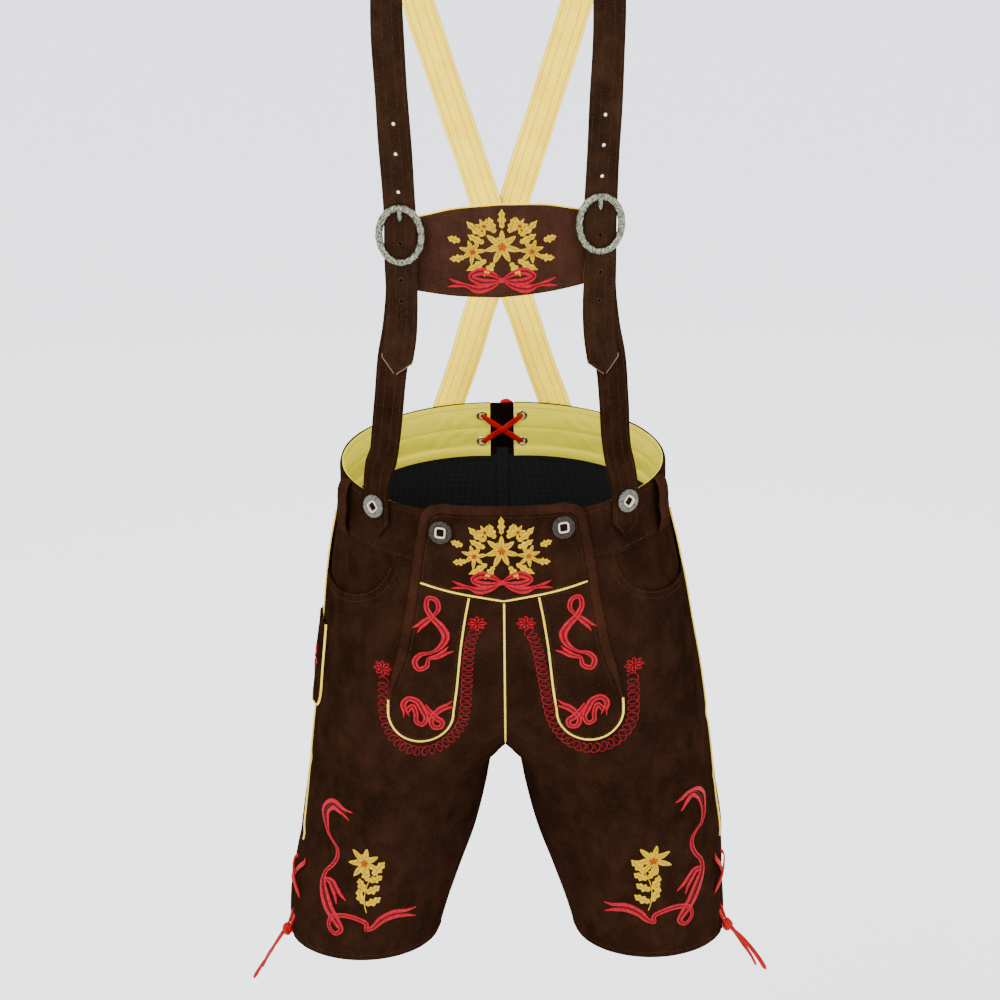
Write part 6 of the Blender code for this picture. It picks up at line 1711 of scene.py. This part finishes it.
# %% Chain and flowers, in mm
CHAINS = [
    [(-29, -106), (-33.5, -120), (-36.2, -140), (-38, -163), (-40, -200), (-44, -227), (-56, -246),
     (-74, -258), (-93, -259), (-112, -248), (-124, -225), (-125.5, -195), (-124, -177)],
    [(23.5, -106), (30, -120), (34.5, -140), (37.8, -164), (42.5, -196), (49, -226), (60, -245),
     (78, -257), (96, -257), (116, -247), (128, -229), (130, -201), (129.5, -176)]]
FLOWERS = [(-27.5, -96.6), (-125, -164), (22, -97), (131, -164.5)]


def chain(stops, pitch, across, along, phase):
    """A trochoid along a line: an oval of across x along that is carried on by a pitch each turn."""
    path = smooth_line(stops, 1400) * MM
    turn = (np.linspace(0, arc_length(path)[-1] / pitch / MM, 1400) + phase)[:, None] * 2 * np.pi
    step = unit(np.gradient(path, axis=0))
    loops = across * np.sin(turn) * beside(path) + along * np.cos(turn) * step
    return path + loops * MM, np.full(1400, 0.55 * MM), 0.0


def petal_outline(centre, radius, twist):
    """Eight petals in one line, turned by a twist."""
    turn = np.linspace(0, 2 * np.pi, 321)
    r = radius * (0.1 + 0.9 * np.abs(np.cos(4 * turn)) ** 0.62)
    petals = np.stack([r * np.cos(turn + twist), r * np.sin(turn + twist)], -1)
    return (centre + petals) * MM, np.full(321, 0.6 * MM), 0.0


chains = [chain(stops, 7.6, *oval) for stops in CHAINS for oval in ((5.7, 4.6, 0.0), (5.2, 4.2, 0.07))]
sew("chain_border", chains, on_lap, FINE_RED, height=0.35 * MM)
# each flower is drawn twice with a small turn, as a sewing machine doubles a line
outlines = [petal_outline(np.array(centre), 9.6 * scale, twist)
            for centre in FLOWERS for twist, scale in ((0.0, 1.0), (0.1, 0.84))]
sew("outlined_flowers", outlines, on_lap, RED_THREAD, height=0.35 * MM)


# %% The knife pocket's embroidery
def on_knife_pocket(share, part, lift):
    """The canvas of the pouch: shares of its half width and of its length."""
    angle, level, out = knife_grid(part, share)
    return on_leg(-1, angle, level, out + SUEDE + lift)


t = np.linspace(0, 1, 15)
widths = 3.0 * MM * (0.15 + np.sin(np.pi * t) ** 0.8)
strips = []
for start, turn, length in ((0.3, 60, 0.26), (0.3, 120, 0.26), (0.3, 90, 0.3), (0.62, -60, 0.24),
                            (0.62, -120, 0.24), (0.46, 15, 0.32), (0.46, 165, 0.32)):
    line = np.array([0.0, start]) + heading(turn) * [1.9, 0.5] * length * t[:, None]
    strips.append((line, widths, 0.1 * MM))
sew("red_embroidery_on_the_knife_pocket", strips, on_knife_pocket, RED_THREAD)

# %% [markdown]
# ## Punched holes, and highlights painted on the straps' pointed ends
# Six holes are punched in each long strap, for the buckle's prong. A cutter, one small drum a
# hole, is taken out of the suede and of the cream leather with a Boolean modifier, which is
# applied; so the upper holes let the light through, and the lower ones show a dark disc for the strap below,
# darkened with painted shade.
# Along each pointed end a pale strip lies on both edges of the suede: a painted highlight, where the edges
# catch the light.

# %% Holes and edges of the long straps
HOLE_RISES = {-1: (0.403, 0.375, 0.3405, 0.286, 0.254, 0.2255),
              1: (0.412, 0.383, 0.351, 0.2905, 0.261, 0.231)}
HOLE_RADIUS, DRUM_SIDES = 1.7 * MM, 20
# rows of (radius, out, power) in mm
RIM = np.array([(1.75, -0.3, 2), (1.8, 0.12, 2), (2.2, 0.22, 2), (2.7, 0.1, 2), (2.9, -0.2, 2)])
PLUG = np.array([(0.05, 0.0, 2), (2.0, 0.0, 2), (2.0, 0.5, 2), (0.05, 0.5, 2)])


def punch(piece, centres, axes):
    """Cut a round hole through a piece at each centre, along its axis."""
    turn = np.linspace(0, 2 * np.pi, DRUM_SIDES, endpoint=False)[:, None]
    points, faces = [], []
    for i, (centre, axis) in enumerate(zip(centres, axes)):
        first = unit(np.cross(axis, [0.0, 0.0, 1.0]))
        ring = centre + HOLE_RADIUS * (np.cos(turn) * first + np.sin(turn) * np.cross(axis, first))
        points += [ring - axis * 6 * MM, ring + axis * 6 * MM]
        low = (np.arange(DRUM_SIDES) + 2 * DRUM_SIDES * i).tolist()
        high = [corner + DRUM_SIDES for corner in low]
        after = [*zip(low[1:] + low[:1], high[1:] + high[:1])]
        faces += [(a, b, d, c) for a, c, (b, d) in zip(low, high, after)] + [low[::-1], high]
    mesh = bpy.data.meshes.new("hole_cutters")
    mesh.from_pydata(np.concatenate(points).tolist(), [], faces)
    cutter = add_object("hole_cutters", mesh)
    modifier = piece.modifiers.new("holes", "BOOLEAN")
    modifier.operation, modifier.object, modifier.solver = "DIFFERENCE", cutter, "EXACT"
    with bpy.context.temp_override(object=piece):
        bpy.ops.object.modifier_apply(modifier=modifier.name)
    bpy.data.objects.remove(cutter)
    print(f"{piece.name}: {len(centres)} holes, {len(piece.data.polygons)} faces")


for side, tag in SIDES:
    line, out, width, far = STRAPS["long_" + tag]
    front = np.where(line[:, 1] < 0, line[:, 2] - WAIST_Z, 9.0)
    near = [int(np.abs(front - rise).argmin()) for rise in HOLE_RISES[side]]
    punch(bpy.data.objects["suede_strap_" + tag], line[near], out[near])
    punch(bpy.data.objects["cream_strap_" + tag], line[near[:3]], out[near[:3]])
    for i, k in enumerate(near, 1):
        turned(f"pressed_rim_{tag}{i}", RIM * [MM, MM, 1], line[k] + out[k] * (STRAP_FACE + 0.2 * MM), out[k],
               BROWN_THREAD, "strap_suede", segments=24)
        # below the buckle a disc of the hole-shadow leather stands for the strap under the hole, darkened
        # with painted shade
        if i > 3:
            turned(f"suede_under_hole_{tag}{i}", PLUG * [MM, MM, 1], line[k] + out[k] * (LINING + 0.1 * MM),
                   out[k], SHADOW, "strap_suede", segments=16)
    across = unit(np.cross(unit(np.gradient(line, axis=0)), out))
    tip = far < 0.0195
    # painted highlight: a pale strip along each edge of the pointed end
    for sign, name in ((-1, "a"), (1, "b")):
        edge = line + across * (sign * (width / 2 - 0.45 * MM))[:, None] + out * (STRAP_FACE - 0.25 * MM)
        rings = strip_rings(edge[tip], out[tip], domed_profile(0.0, 0.55 * MM, 6), 1.1 * MM)
        carried(f"raw_edge_{tag}_{name}", rings, EDGE_HIGHLIGHT, "strap_suede")
